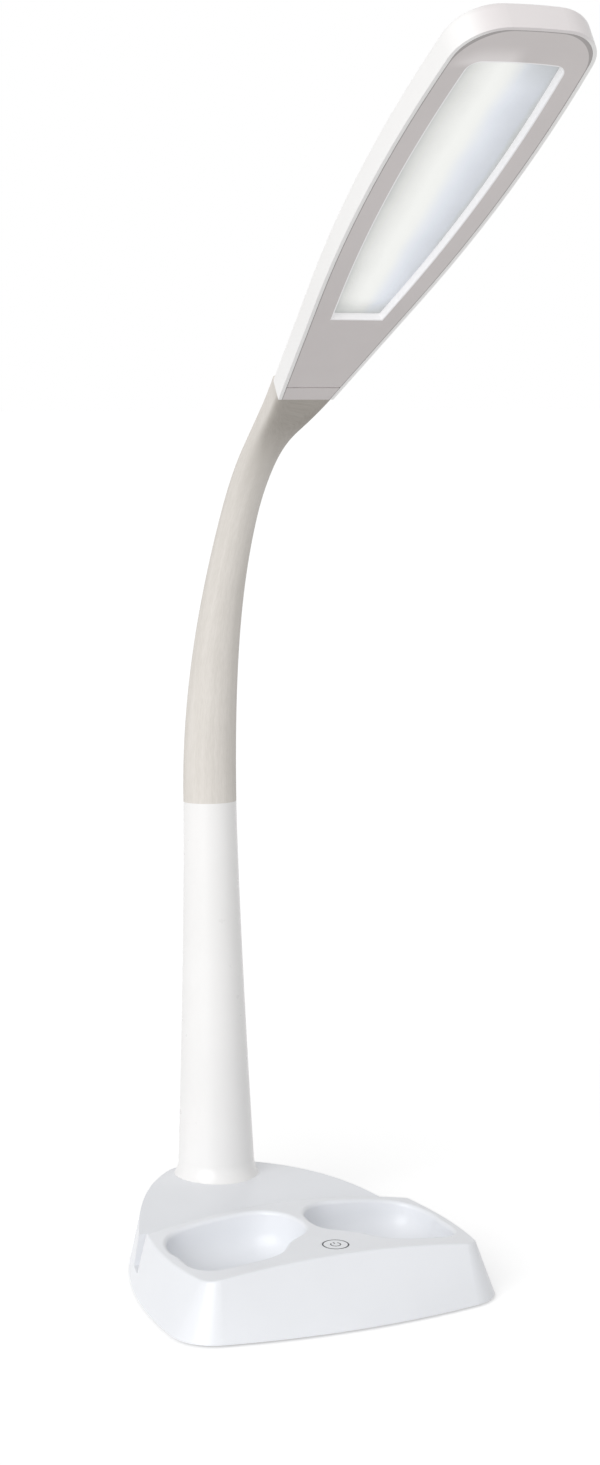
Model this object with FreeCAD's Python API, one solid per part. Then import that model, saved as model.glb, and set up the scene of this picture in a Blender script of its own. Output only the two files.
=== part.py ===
import FreeCAD, Part

import math
import os

# Desk lamp with a storage base: a low white base with two bowl-shaped wells, a round button,
# a slot that holds a tablet upright, a tapered stem, a flexible neck and a flat LED head.
# Millimetres. The origin is on the table under the stem, +Z is up and -Y is the front.

Vec = FreeCAD.Vector
UP = Vec(0, 0, 1)
SIDE = Vec(1, 0, 0)
BACK = Vec(0, 1, 0)

# ---- base: plan at the table (foot) and at the height of the tray's corners (brim) ----
foot_half_width = 90.0
foot_front = 188.0
foot_front_sag = 12.0
foot_corner_radius = 24.0
foot_widest = 145.0
foot_rear_radius = 40.0
foot_rear_end = 34.0
brim_half_width = 80.0
brim_front = 175.0
brim_front_sag = 4.0
brim_corner_radius = 10.0
brim_widest = 130.0
brim_rear_radius = 32.0
brim_rear_end = 26.0
brim_height = 30.0

# ---- base: top of the tray, tablet slot and rear deck ----
front_crown = 6.0
back_crown = 8.5
tray_back = 88.0
slot_floor_width = 13.0
slot_floor_height = 10.0
slot_lean = 26.0
deck_lip_height = 24.0
deck_foot_height = 30.0
deck_rear_height = 27.0
base_wall = 2.6
base_edge_radius = 1.4

# ---- base: wells ----
well_middle_gap = 5.0
well_side_margin = 6.5
well_front_margin = 15.5
well_back_margin = 6.5
well_depth = 24.0
well_wall = 2.2
well_floor_share = 0.62
well_lip_radius = 2.0

# ---- base: underside ----
pad_thickness = 1.5
pad_inset = 6.0
cover_thickness = 2.2
cover_clearance = 0.25
ballast_thickness = 3.5
ballast_inset = 9.0
ballast_clearance = 1.0
boss_radius = 3.6
boss_middle_half_spacing = 59.0
boss_rear_half_spacing = 32.0
boss_rear_y = -17.0
screw_shank_radius = 1.4
screw_head_radius = 2.7
screw_head_height = 1.2
screw_depth = 7.0
head_recess_clearance = 0.2

# ---- button and its board ----
button_front_margin = 16.5
button_radius = 6.8
button_gap = 0.25
button_skirt_radius = 8.2
button_skirt_thickness = 1.0
button_collar_depth = 3.6
button_collar_radius = 10.2
button_travel = 0.8
button_stem_radius = 2.4
switch_width = 6.2
switch_height = 3.6
plunger_radius = 1.7
plunger_proud = 1.2
plunger_clearance = 0.1
plunger_floor_gap = 0.2
board_width = 34.0
board_depth = 15.0
board_thickness = 1.6
board_drop = 13.0
board_post_radius = 2.6
board_post_spacing = 25.0
board_screw_radius = 1.0
board_screw_head_radius = 1.9
board_screw_head_height = 1.1
board_screw_depth = 5.0

# ---- ports in the rear wall, each turned to face out square to the curved wall ----
port_angle = 19.0
port_height = 14.0
port_wall_clearance = 0.15
port_setback = 0.6
usb_width = 13.1
usb_height = 5.7
usb_depth = 13.5
usb_sheet = 0.35
usb_tongue_width = 11.1
usb_tongue_height = 1.8
usb_tongue_drop = 0.95
usb_tongue_setback = 1.0
usb_back_depth = 3.0
dc_radius = 5.2
dc_bore_radius = 2.9
dc_depth = 12.0
dc_back_depth = 3.0
dc_pin_radius = 1.0
dc_pin_setback = 1.0

# ---- stem ----
stem_lean = 2.0
stem_length = 240.0
stem_top_radius = 14.7
stem_foot_growth = 6.9
stem_growth_power = 1.4
stem_wall = 2.4
stem_foot_flare = 3.0
stem_flare_height = 9.0
stem_flare_knee = 2.0
stem_flare_waist = 1.05
spigot_radius = 11.0
spigot_bore_radius = 7.5
spigot_drop = 17.0
spigot_rise = 6.0
spigot_clearance = 0.15
spigot_boss_radius = 20.0
spigot_boss_drop = 5.0
washer_radius = 17.0
washer_thickness = 1.6
nut_radius = 14.0
nut_thickness = 5.0
anchor_radius = 10.6
anchor_length = 34.0
anchor_clearance = 0.05

# ---- neck: centre line of three tangent arcs (length, turn in degrees), seam to head ----
neck_arcs = ((170.0, 34.6), (74.0, 29.8), (32.0, -5.0))
neck_waist_radius = 9.4
neck_taper_length = 192.0
neck_joints = 9
first_joint = 22.0
last_joint = 208.0
dome_ratio = 1.13
dome_gap = 0.3
flare_half_width = 15.0
flare_growth_power = 1.66
flare_squareness = 7.0
flare_square_power = 3.0
core_radius = 4.5
core_bore_radius = 2.6
core_clearance = 0.05

# ---- head ----
head_root_half_width = 15.0
head_root_length = 11.0
head_length = 269.3
head_half_width = 35.7
head_widest = 197.0
head_flank_angle = 8.01132
head_tip_radius = 220.0
head_corner_radius = 22.0
head_thickness = 14.6
head_wall = 1.8
head_edge_radius = 4.3
bezel_thickness = 2.0
bezel_clearance = 0.1
bezel_groove_width = 0.8
bezel_groove_depth = 0.5
window_inset = 11.6
window_start = 59.4
window_end_margin = 22.0
window_corner_radius = 5.0
bevel_width = 1.0
bevel_depth = 3.0
lens_lap = 3.2
lens_thickness = 1.6
reflector_height = 4.0
reflector_wall = 0.8
reflector_splay = 2.0
led_board_thickness = 1.4
led_board_lap = 8.0
spreader_thickness = 1.2
led_rows = 2
led_columns = 14
led_row_spacing = 13.0
led_pitch = 12.6
led_first = 72.0
led_length = 3.5
led_width = 2.8
led_height = 0.7
led_boss_radius = 2.8
led_screw_radius = 1.0
led_screw_head_radius = 1.9
led_screw_head_height = 1.1
led_screw_root_spacing = 12.0
led_screw_tip_spacing = 26.0
led_screw_margin = 4.0
led_screw_tip_gap = 0.5
ferrule_reach = 12.0
ferrule_nut_radius = 5.2
ferrule_nut_thickness = 3.0

SKIN = 0.5       # how far a cutting tool runs past the face it cuts
FAR = 60.0       # tall enough to clear the base
RIM_SLACK = 0.1  # how far below the brim an edge may lie and still count as a rim
STRAIGHT = 1e-6  # bend, in radians, below which a length of the neck counts as straight

# ---- derived heights ----
cover_bottom = pad_thickness
cover_top = pad_thickness + cover_thickness
ballast_top = cover_top + ballast_thickness
slot_back = tray_back - slot_floor_width
shell_top = brim_height + back_crown + 2.0 * base_wall
well_half_width = 0.5 * (brim_half_width - well_side_margin - 0.5 * well_middle_gap)
well_half_depth = 0.5 * (brim_front - well_front_margin - tray_back - well_back_margin)
well_centre_x = 0.5 * well_middle_gap + well_half_width
well_centre_y = -(tray_back + well_back_margin + well_half_depth)
button_y = button_front_margin - brim_front


# ======================= plane geometry =======================

def arc(first, middle, last):
    """Circular edge through three points."""
    return Part.Arc(first, middle, last).toShape()


def on_circle(centre, radius, degrees, z):
    """Point on a circle, angle from +X."""
    turn = math.radians(degrees)
    return Vec(centre[0] + radius * math.cos(turn), centre[1] + radius * math.sin(turn), z)


def heading(start, end):
    """Angle in degrees of the line from one plan point to another."""
    return math.degrees(math.atan2(end[1] - start[1], end[0] - start[0]))


def inner_corner(centre_a, radius_a, centre_b, radius_b, corner):
    """Centre of a circle that touches two larger circles from inside, on the side
    where y is lowest."""
    reach_a = radius_a - corner
    reach_b = radius_b - corner
    gap_x = centre_b[0] - centre_a[0]
    gap_y = centre_b[1] - centre_a[1]
    gap = math.hypot(gap_x, gap_y)
    along = (reach_a ** 2 - reach_b ** 2 + gap ** 2) / (2 * gap)
    across = math.sqrt(reach_a ** 2 - along ** 2)
    foot = (centre_a[0] + along * gap_x / gap, centre_a[1] + along * gap_y / gap)
    choices = [(foot[0] + k * across * gap_y / gap, foot[1] - k * across * gap_x / gap)
               for k in (-1, 1)]
    return min((c for c in choices if c[0] > 0), key=lambda c: c[1])


def mirror(point):
    """The same point on the other side of the lamp."""
    return Vec(-point.x, point.y, point.z)


def disc(radius, height, place, axis=UP):
    """Cylinder standing on a point."""
    return Part.makeCylinder(radius, height, place, axis)


def ring(outer, inner, height, place, axis=UP):
    """Flat ring or tube standing on a point."""
    tool = disc(inner, height + 2 * SKIN, place - axis * SKIN, axis)
    return disc(outer, height, place, axis).cut(tool)


def block(x_span, y_span, z_span):
    """Box given by its spans along the three axes."""
    corner = Vec(x_span[0], y_span[0], z_span[0])
    return Part.makeBox(x_span[1] - x_span[0], y_span[1] - y_span[0], z_span[1] - z_span[0], corner)


def slab(wire, height):
    """Solid that stands on a closed flat wire."""
    return Part.Face(wire).extrude(Vec(0, 0, height))


def cross_prism(profile, half_width):
    """Solid whose section across the lamp is a closed list of edges in the YZ plane at x = 0."""
    face = Part.Face(Part.Wire(profile))
    face.translate(Vec(-half_width, 0, 0))
    return face.extrude(Vec(2 * half_width, 0, 0))


def edges_at(shape, test):
    """Edges whose every vertex passes a test."""
    return [e for e in shape.Edges if all(test(v.Point) for v in e.Vertexes)]


# ======================= base =======================

def base_outline(z, inset=0.0):
    """Closed plan of the base at a height: a bowed front, two round corners, two long side
    arcs and a rear arc, all tangent. It tapers evenly from foot to brim."""
    share = z / brim_height

    def blend(foot, brim):
        return foot + (brim - foot) * share

    half = blend(foot_half_width, brim_half_width) - inset
    front = blend(foot_front, brim_front) - inset
    corner = blend(foot_corner_radius, brim_corner_radius) - inset
    sag = blend(foot_front_sag, brim_front_sag)
    widest = blend(foot_widest, brim_widest)
    rear = blend(foot_rear_radius, brim_rear_radius) - inset
    rear_end = blend(foot_rear_end, brim_rear_end) - inset
    reach = blend(foot_half_width, brim_half_width)
    front_radius = (reach ** 2 + sag ** 2) / (2 * sag) - inset
    rear_centre = (0.0, rear_end - rear)
    run = rear_centre[1] + widest
    side_radius = (half ** 2 + run ** 2 - rear ** 2) / (2 * (half - rear))
    side_centre = (half - side_radius, -widest)
    front_centre = (0.0, front_radius - front)
    corner_centre = inner_corner(side_centre, side_radius, front_centre, front_radius, corner)
    front_end = on_circle(corner_centre, corner, heading(front_centre, corner_centre), z)
    corner_end = on_circle(corner_centre, corner, heading(side_centre, corner_centre), z)
    side_end = on_circle(side_centre, side_radius, heading(side_centre, rear_centre), z)
    corner_turn = 0.5 * (heading(front_centre, corner_centre) + heading(side_centre, corner_centre))
    corner_middle = on_circle(corner_centre, corner, corner_turn, z)
    side_turn = 0.5 * (heading(side_centre, corner_centre) + heading(side_centre, rear_centre))
    side_middle = on_circle(side_centre, side_radius, side_turn, z)
    return Part.Wire([
        arc(mirror(front_end), Vec(0, -front, z), front_end),
        arc(front_end, corner_middle, corner_end),
        arc(corner_end, side_middle, side_end),
        arc(side_end, Vec(0, rear_end, z), mirror(side_end)),
        arc(mirror(side_end), mirror(side_middle), mirror(corner_end)),
        arc(mirror(corner_end), mirror(corner_middle), mirror(front_end))])


def base_block(low, high, inset=0.0):
    """Tapered solid between two heights of the base's plan."""
    return Part.makeLoft([base_outline(low, inset), base_outline(high, inset)], True, True)


def crown_height(y):
    """Height of the tray's top on the centre line."""
    share = (y + brim_front) / (brim_front - tray_back)
    return brim_height + front_crown + (back_crown - front_crown) * share


def crown_section(y, lift):
    """Closed section at one y, wider than the base, arched below and flat far above."""
    side = brim_half_width
    wide = foot_half_width + SKIN
    middle = Vec(0, y, crown_height(y) + lift)
    rise = crown_height(y) - brim_height
    radius = (side ** 2 + rise ** 2) / (2 * rise)
    wide_z = middle.z - radius + math.sqrt(radius ** 2 - wide ** 2)
    left = Vec(-wide, y, wide_z)
    right = Vec(wide, y, wide_z)
    left_top = Vec(-wide, y, FAR)
    right_top = Vec(wide, y, FAR)
    return Part.Wire([arc(left, middle, right), Part.makeLine(right, right_top),
                      Part.makeLine(right_top, left_top), Part.makeLine(left_top, left)])


def above_crown(lift=0.0):
    """Everything over the tray's arched top, or over that top raised by a lift."""
    sections = [crown_section(-foot_front, lift), crown_section(foot_rear_end, lift)]
    return Part.makeLoft(sections, True, True)


def behind_tray(wall=0.0):
    """Everything over the tablet slot and the rear deck, as a profile across the lamp. A wall
    grows it all round."""
    lean = math.tan(math.radians(slot_lean))
    lip_y = -slot_back + (deck_lip_height - slot_floor_height) * lean
    floor = slot_floor_height - wall
    back_foot = Vec(0, -slot_back + wall * (1 - lean), floor)
    lip = Vec(0, lip_y + wall, deck_lip_height - wall)
    crest = Vec(0, 0, deck_foot_height - wall)
    rear = Vec(0, foot_rear_end + SKIN, deck_rear_height - wall)
    front_foot = Vec(0, -tray_back - wall, floor)
    front_top = Vec(0, -tray_back - wall, FAR)
    rear_top = Vec(0, foot_rear_end + SKIN, FAR)
    profile = [Part.makeLine(front_foot, back_foot), Part.makeLine(back_foot, lip),
               arc(lip, crest, rear), Part.makeLine(rear, rear_top),
               Part.makeLine(rear_top, front_top), Part.makeLine(front_top, front_foot)]
    return cross_prism(profile, foot_half_width + SKIN)


# One well's rim, as shares of its half width and half depth, from the outer side round the back.
# The inner front corner curls round the button.
WELL_RIM = ((1.0, 0.06), (0.98, 0.5), (0.81, 0.85), (0.39, 0.98), (-0.17, 0.98), (-0.62, 0.91),
            (-0.89, 0.65), (-0.99, 0.18), (-0.92, -0.18), (-0.72, -0.38), (-0.51, -0.55),
            (-0.32, -0.82), (-0.03, -0.98), (0.39, -1.0), (0.79, -0.91), (0.98, -0.52))


def well_outline(share, z, side, growth=0.0):
    """Rim of one well drawn in towards its centre by a share, as a smooth closed curve."""
    half_width = share * well_half_width + growth
    half_depth = share * well_half_depth + growth
    points = [Vec(side * (well_centre_x + half_width * x), well_centre_y + half_depth * y, z)
              for x, y in WELL_RIM]
    curve = Part.BSplineCurve()
    curve.interpolate(points, True)
    return Part.Wire([curve.toShape()])


def well_bowl(side, growth=0.0):
    """Solid that fills one well up to far above its rim: a bowl with a flat floor and walls that
    curve in like a quarter ellipse. Growth makes it larger all round."""
    floor_z = crown_height(well_centre_y) - well_depth - growth
    rim_z = brim_height - well_lip_radius
    wires = []
    for rise in (0.0, 0.08, 0.22, 0.42, 0.68, 1.0):
        curve_in = 1.0 - math.sqrt(1.0 - (1.0 - rise) ** 2)
        share = 1.0 - (1.0 - well_floor_share) * curve_in
        wires.append(well_outline(share, floor_z + (rim_z - floor_z) * rise, side, growth))
    bowl = Part.makeLoft(wires, True, False)
    mouth = Part.makeLoft([wires[-1], well_outline(1.0, FAR - SKIN, side, growth)], True, True)
    return bowl.fuse(mouth)


def cover_bosses():
    """Plan points of the posts that the bottom cover is screwed to."""
    front_x = foot_half_width - foot_corner_radius
    front_y = -foot_front + foot_corner_radius
    middle_y = -slot_back - 0.5 * slot_floor_width
    rows = ((front_x, front_y), (boss_middle_half_spacing, middle_y), (boss_rear_half_spacing, boss_rear_y))
    return [Vec(side * x, y, 0) for x, y in rows for side in (1, -1)]


def stem_frame(shape):
    """Leans a shape that was built on the vertical line through the origin."""
    turned = shape.copy()
    turned.rotate(Vec(0, 0, 0), SIDE, -stem_lean)
    return turned


def port_frame(shape, side):
    """Swings a shape built on the rear centre line round to one port's direction."""
    turned = shape.copy()
    turned.rotate(Vec(0, foot_rear_end - foot_rear_radius, 0), UP, -side * port_angle)
    return turned


def port_face_y():
    """Y of a port's outer face on the rear centre line, before it is swung round."""
    share = (port_height + 0.5 * usb_height) / brim_height
    return foot_rear_end + (brim_rear_end - foot_rear_end) * share - port_setback


def port_openings():
    """Holes through the rear wall for the two ports."""
    half = 0.5 * usb_width + port_wall_clearance
    tall = 0.5 * usb_height + port_wall_clearance
    deep = port_face_y() - usb_depth
    usb = block((-half, half), (deep, FAR), (port_height - tall, port_height + tall))
    dc_place = Vec(0, port_face_y() - dc_depth, port_height)
    dc = disc(dc_radius + port_wall_clearance, FAR, dc_place, BACK)
    return port_frame(usb, 1).fuse(port_frame(dc, -1))


def button_top():
    """Height of the tray's top at the button."""
    return crown_height(button_y)


def switch_base():
    """Height of the top of the control board."""
    return button_top() - board_drop


def board_posts():
    """Plan points of the posts that the control board is screwed to."""
    return [Vec(side * 0.5 * board_post_spacing, button_y, 0) for side in (1, -1)]


def tray_rims(solid, closed):
    """Edges round the tray's top: the closed lips of the wells, or the tray's own edges."""
    rims = edges_at(solid, lambda p: p.z > brim_height - RIM_SLACK and p.y < SKIN - tray_back)
    return [e for e in rims if e.isClosed() == closed]


def base_shell():
    """Upper housing: outer form, hollow from below, with both wells hanging in it."""
    outer = base_block(cover_bottom, shell_top).cut(above_crown()).cut(behind_tray())
    for side in (1, -1):
        outer = outer.cut(well_bowl(side))
    outer = outer.makeFillet(base_edge_radius, tray_rims(outer, False))
    outer = outer.makeFillet(well_lip_radius, tray_rims(outer, True))
    hollow = base_block(cover_bottom - SKIN, shell_top - base_wall, base_wall)
    hollow = hollow.cut(above_crown(-base_wall)).cut(behind_tray(base_wall))
    for side in (1, -1):
        hollow = hollow.cut(well_bowl(side, well_wall))
    for place in cover_bosses():
        hollow = hollow.cut(disc(boss_radius, FAR, place + UP * cover_top))
    for place in board_posts():
        hollow = hollow.cut(disc(board_post_radius, FAR, place + UP * switch_base()))
    collar = Vec(0, button_y, button_top() - button_collar_depth)
    hollow = hollow.cut(disc(button_collar_radius, FAR, collar))
    boss_place = Vec(0, 0, deck_foot_height - spigot_boss_drop)
    hollow = hollow.cut(stem_frame(disc(spigot_boss_radius, FAR, boss_place)))
    shell = outer.cut(hollow)
    for place in cover_bosses():
        shell = shell.cut(disc(screw_shank_radius, screw_depth, place + UP * cover_bottom))
    for place in board_posts():
        shell = shell.cut(disc(board_screw_radius, board_screw_depth, place + UP * switch_base()))
    button_hole = Vec(0, button_y, switch_base())
    shell = shell.cut(disc(button_radius + button_gap, FAR, button_hole))
    spigot_hole = disc(spigot_radius + spigot_clearance, FAR, Vec(0, 0, 0))
    return shell.cut(stem_frame(spigot_hole)).cut(port_openings())


def cover_screw_heads(clearance=0.0):
    """Pan heads of the cover screws, sunk in the cover from below."""
    radius = screw_head_radius + clearance
    return [disc(radius, screw_head_height, place + UP * cover_bottom) for place in cover_bosses()]


def bottom_cover():
    """Flat plate that closes the housing from below."""
    plate = base_block(cover_bottom, cover_top, base_wall + cover_clearance)
    for head in cover_screw_heads(head_recess_clearance):
        plate = plate.cut(head)
    for place in cover_bosses():
        plate = plate.cut(disc(screw_shank_radius, FAR, place))
    return plate


def cover_screws():
    """Self-tapping screws, one solid each."""
    screws = []
    for place, head in zip(cover_bosses(), cover_screw_heads()):
        screws.append(head.fuse(disc(screw_shank_radius, screw_depth, place + UP * cover_bottom)))
    return Part.makeCompound([s.removeSplitter() for s in screws])


def anti_slip_pad():
    """Rubber sheet that the lamp stands on."""
    return slab(base_outline(0.0, pad_inset), pad_thickness)


def ballast_plate():
    """Steel plate that keeps the lamp upright, with room round the posts."""
    wire = base_outline(0.0, ballast_inset)
    wire.translate(UP * cover_top)
    plate = slab(wire, ballast_thickness)
    for place in cover_bosses():
        plate = plate.cut(disc(boss_radius + ballast_clearance, FAR, place))
    return plate


def power_button():
    """Round cap flush with the tray, a skirt that keeps it in and a stem down to the switch."""
    top = button_top()
    skirt_top = top - button_collar_depth
    foot = switch_base() + switch_height + plunger_proud
    cap = disc(button_radius, FAR - skirt_top, Vec(0, button_y, skirt_top)).cut(above_crown())
    skirt_place = Vec(0, button_y, skirt_top - button_skirt_thickness)
    skirt = disc(button_skirt_radius, button_skirt_thickness, skirt_place)
    stem = disc(button_stem_radius, skirt_place.z - foot + SKIN, Vec(0, button_y, foot))
    return cap.fuse(skirt).fuse(stem).removeSplitter()


def control_board():
    """Circuit board under the button."""
    low = switch_base() - board_thickness
    half = 0.5 * board_width
    deep = 0.5 * board_depth
    board = block((-half, half), (button_y - deep, button_y + deep), (low, switch_base()))
    for place in board_posts():
        board = board.cut(disc(board_screw_radius, FAR, place))
    return board


def tact_switch():
    """Housing of the push switch, open above for its plunger."""
    half = 0.5 * switch_width
    body = block((-half, half), (button_y - half, button_y + half),
                 (switch_base(), switch_base() + switch_height))
    bore_foot = Vec(0, button_y, plunger_foot() - button_travel - plunger_floor_gap)
    return body.cut(disc(plunger_radius + plunger_clearance, FAR, bore_foot))


def plunger_foot():
    """Height of the plunger's lower end at rest."""
    return switch_base() + 0.5 * switch_height


def switch_plunger():
    """Pin that the button presses into the switch."""
    tall = 0.5 * switch_height + plunger_proud
    return disc(plunger_radius, tall, Vec(0, button_y, plunger_foot()))


def board_screws():
    """Two screws that hold the control board, one solid each."""
    screws = []
    for place in board_posts():
        head_low = switch_base() - board_thickness - board_screw_head_height
        head = disc(board_screw_head_radius, board_screw_head_height, place + UP * head_low)
        shank = disc(board_screw_radius, board_thickness + board_screw_depth + board_screw_head_height,
                     place + UP * head_low)
        screws.append(head.fuse(shank).removeSplitter())
    return Part.makeCompound(screws)


def usb_shell():
    """Sheet metal can of the charging port, open to the rear."""
    half = 0.5 * usb_width
    tall = 0.5 * usb_height
    face = port_face_y()
    can = block((-half, half), (face - usb_depth, face), (port_height - tall, port_height + tall))
    inside = block((-half + usb_sheet, half - usb_sheet), (face - usb_depth + usb_sheet, face + SKIN),
                   (port_height - tall + usb_sheet, port_height + tall - usb_sheet))
    return port_frame(can.cut(inside), 1)


def usb_tongue():
    """Plastic tongue and back block inside the charging port."""
    half = 0.5 * usb_width - usb_sheet
    tall = 0.5 * usb_height - usb_sheet
    low = port_face_y() - usb_depth + usb_sheet
    back = block((-half, half), (low, low + usb_back_depth), (port_height - tall, port_height + tall))
    top = port_height + tall - usb_tongue_drop
    tip = port_face_y() - usb_tongue_setback
    blade = block((-0.5 * usb_tongue_width, 0.5 * usb_tongue_width), (low, tip),
                  (top - usb_tongue_height, top))
    return port_frame(back.fuse(blade).removeSplitter(), 1)


def dc_inlet():
    """Round power socket, open to the rear."""
    place = Vec(0, port_face_y() - dc_depth, port_height)
    body = disc(dc_radius, dc_depth, place, BACK)
    bore = disc(dc_bore_radius, dc_depth, place + Vec(0, dc_back_depth, 0), BACK)
    return port_frame(body.cut(bore), -1)


def dc_pin():
    """Centre pin of the power socket."""
    place = Vec(0, port_face_y() - dc_depth + dc_back_depth, port_height)
    pin_length = dc_depth - dc_back_depth - dc_pin_setback
    return port_frame(disc(dc_pin_radius, pin_length, place, BACK), -1)


# ======================= stem =======================

def stem_radius(height):
    """Outer radius of the stem, which widens ever faster towards the foot."""
    drop = (stem_length - height) / (stem_length - deck_foot_height)
    return stem_top_radius + stem_foot_growth * drop ** stem_growth_power


def stem_profile(inset, low, high, count=9):
    """Radius and height along the stem, as a smooth curve."""
    rows = [low + (high - low) * k / (count - 1) for k in range(count)]
    curve = Part.BSplineCurve()
    curve.interpolate([Vec(stem_radius(z) - inset, 0, z) for z in rows])
    return curve.toShape()


def turned_solid(edges):
    """Solid of revolution about the stem's line, from a profile whose ends lie on it."""
    first = edges[0].Vertexes[0].Point
    last = edges[-1].Vertexes[-1].Point
    low = Vec(0, 0, first.z)
    high = Vec(0, 0, last.z)
    loop = [Part.makeLine(low, first)] + edges
    loop += [Part.makeLine(last, high), Part.makeLine(high, low)]
    return Part.Face(Part.Wire(loop)).revolve(Vec(0, 0, 0), UP, 360)


def stem_shell():
    """Tapered white tube with a flared foot on the deck and a spigot that passes through it."""
    low = 0.5 * (deck_foot_height + deck_rear_height)
    knee = deck_foot_height + stem_flare_knee
    flare_top = deck_foot_height + stem_flare_height
    flare_low = Vec(stem_radius(low) + stem_foot_flare, 0, low)
    flare_middle = Vec(stem_radius(knee) + stem_flare_waist, 0, knee)
    flare_high = Vec(stem_radius(flare_top), 0, flare_top)
    flare = arc(flare_low, flare_middle, flare_high)
    outer = turned_solid([flare, stem_profile(0.0, flare_top, stem_length)])
    hollow_low = deck_foot_height + stem_wall
    hollow_high = stem_length - anchor_length
    hollow = turned_solid([stem_profile(stem_wall, hollow_low, hollow_high)])
    socket = disc(anchor_radius + anchor_clearance, stem_length, Vec(0, 0, hollow_high))
    stem = outer.cut(hollow).cut(socket)
    spigot_foot = Vec(0, 0, deck_foot_height - spigot_drop)
    spigot = disc(spigot_radius, spigot_drop + spigot_rise, spigot_foot)
    bore = disc(spigot_bore_radius, spigot_drop + 2 * spigot_rise, spigot_foot - UP * SKIN)
    below = base_block(cover_bottom, shell_top).cut(behind_tray())
    above_deck = stem_frame(stem).cut(below)
    return above_deck.fuse(stem_frame(spigot)).cut(stem_frame(bore)).removeSplitter()


def washer_seat():
    """Height on the stem's line of the flat boss under the deck."""
    return deck_foot_height - spigot_boss_drop


def stem_washer():
    """Steel washer under the deck."""
    place = Vec(0, 0, washer_seat() - washer_thickness)
    return stem_frame(ring(washer_radius, spigot_radius + spigot_clearance, washer_thickness, place))


def stem_nut():
    """Hexagonal nut that clamps the stem to the base."""
    low = washer_seat() - washer_thickness - nut_thickness
    corners = [on_circle((0, 0), nut_radius, 60 * k, low) for k in range(7)]
    nut = slab(Part.makePolygon(corners), nut_thickness)
    return stem_frame(nut.cut(disc(spigot_radius, FAR, Vec(0, 0, 0))))


def gooseneck_anchor():
    """Steel plug in the top of the stem that holds the flexible core."""
    place = Vec(0, 0, stem_length - anchor_length)
    return stem_frame(ring(anchor_radius, core_radius + core_clearance, anchor_length, place))


# ======================= neck =======================

def neck_point(s):
    """Point and heading, in radians from vertical, at a length along the neck from the stem."""
    angle = math.radians(stem_lean)
    y = stem_length * math.sin(angle)
    z = stem_length * math.cos(angle)
    left = s
    if s < 0:
        return Vec(0, y + s * math.sin(angle), z + s * math.cos(angle)), angle
    for length, turn in neck_arcs:
        run = min(left, length)
        bend = math.radians(turn) * run / length
        chord = run * math.sin(0.5 * bend) / (0.5 * bend) if bend else run
        y += chord * math.sin(angle - 0.5 * bend)
        z += chord * math.cos(angle - 0.5 * bend)
        angle -= bend
        left -= run
        if left <= 0:
            break
    return Vec(0, y + left * math.sin(angle), z + left * math.cos(angle)), angle


def neck_tangent(s):
    """Unit direction of the neck at a length along it."""
    angle = neck_point(s)[1]
    return Vec(0, math.sin(angle), math.cos(angle))


def neck_radius(s):
    """Radius of the sleeve: a cosine ease from the stem's top to the waist."""
    share = min(max(s / neck_taper_length, 0.0), 1.0)
    return neck_waist_radius + (stem_top_radius - neck_waist_radius) * 0.5 * (1 + math.cos(math.pi * share))


def neck_length():
    """Length of the neck from the stem's top to the head."""
    return sum(length for length, turn in neck_arcs)


def joint_station(k):
    """Length along the neck of the joint with this number, from 0."""
    return first_joint + (last_joint - first_joint) * k / (neck_joints - 1)


def dome_radius(k):
    """Radius of the ball face at one joint."""
    return neck_radius(joint_station(k)) * dome_ratio


def bent_rod(start, end, radius_at, count=7):
    """Solid of round section along the neck between two lengths."""
    wires = []
    for k in range(count):
        s = start + (end - start) * k / (count - 1)
        circle = Part.Circle(neck_point(s)[0], neck_tangent(s), radius_at(s))
        wires.append(Part.Wire([circle.toShape()]))
    return Part.makeLoft(wires, True, False)


def core_rod(start, end, radius):
    """Rod of one radius along the neck: a turned length for each arc of the centre line and a
    straight one for what reaches past its ends."""
    bends = [sum(length for length, turn in neck_arcs[:k]) for k in range(len(neck_arcs) + 1)]
    cuts = [start] + [s for s in bends if start < s < end] + [end]
    rods = []
    for low, high in zip(cuts[:-1], cuts[1:]):
        place, angle = neck_point(low)
        face = Part.Face(Part.Wire([Part.Circle(place, neck_tangent(low), radius).toShape()]))
        bend = angle - neck_point(high)[1]
        if abs(bend) > STRAIGHT:
            inward = Vec(0, -math.cos(angle), math.sin(angle))
            centre = place + inward * ((high - low) / bend)
            rods.append(face.revolve(centre, SIDE, math.degrees(bend)))
        else:
            rods.append(face.extrude(neck_tangent(low) * (high - low)))
    return rods[0].multiFuse(rods[1:]) if len(rods) > 1 else rods[0]


def joint_ball(k, growth=0.0):
    """Ball centred on one joint, with its pole along the neck."""
    station = joint_station(k)
    return Part.makeSphere(dome_radius(k) + growth, neck_point(station)[0], neck_tangent(station))


def beyond_joint(k):
    """Everything past the ball face of one joint, on the head's side."""
    station = joint_station(k)
    wide = disc(3 * stem_top_radius, 4 * stem_top_radius, neck_point(station)[0], neck_tangent(station))
    return wide.cut(joint_ball(k))


def joint_socket(k):
    """Ball that hollows the foot of the piece above a joint, with its running gap."""
    return joint_ball(k, dome_gap)


def piece_ends(k, root=0.0):
    """Lengths along the neck between which one piece lies. Its first piece starts at a root."""
    start = joint_station(k - 1) if k > 0 else root
    return start, joint_station(k) + dome_radius(k)


def ball_ended(k, rod):
    """Gives a rod its domed top at joint k, and its hollow foot at the joint before."""
    piece = rod.cut(beyond_joint(k))
    return piece.cut(joint_socket(k - 1)) if k > 0 else piece


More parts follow.
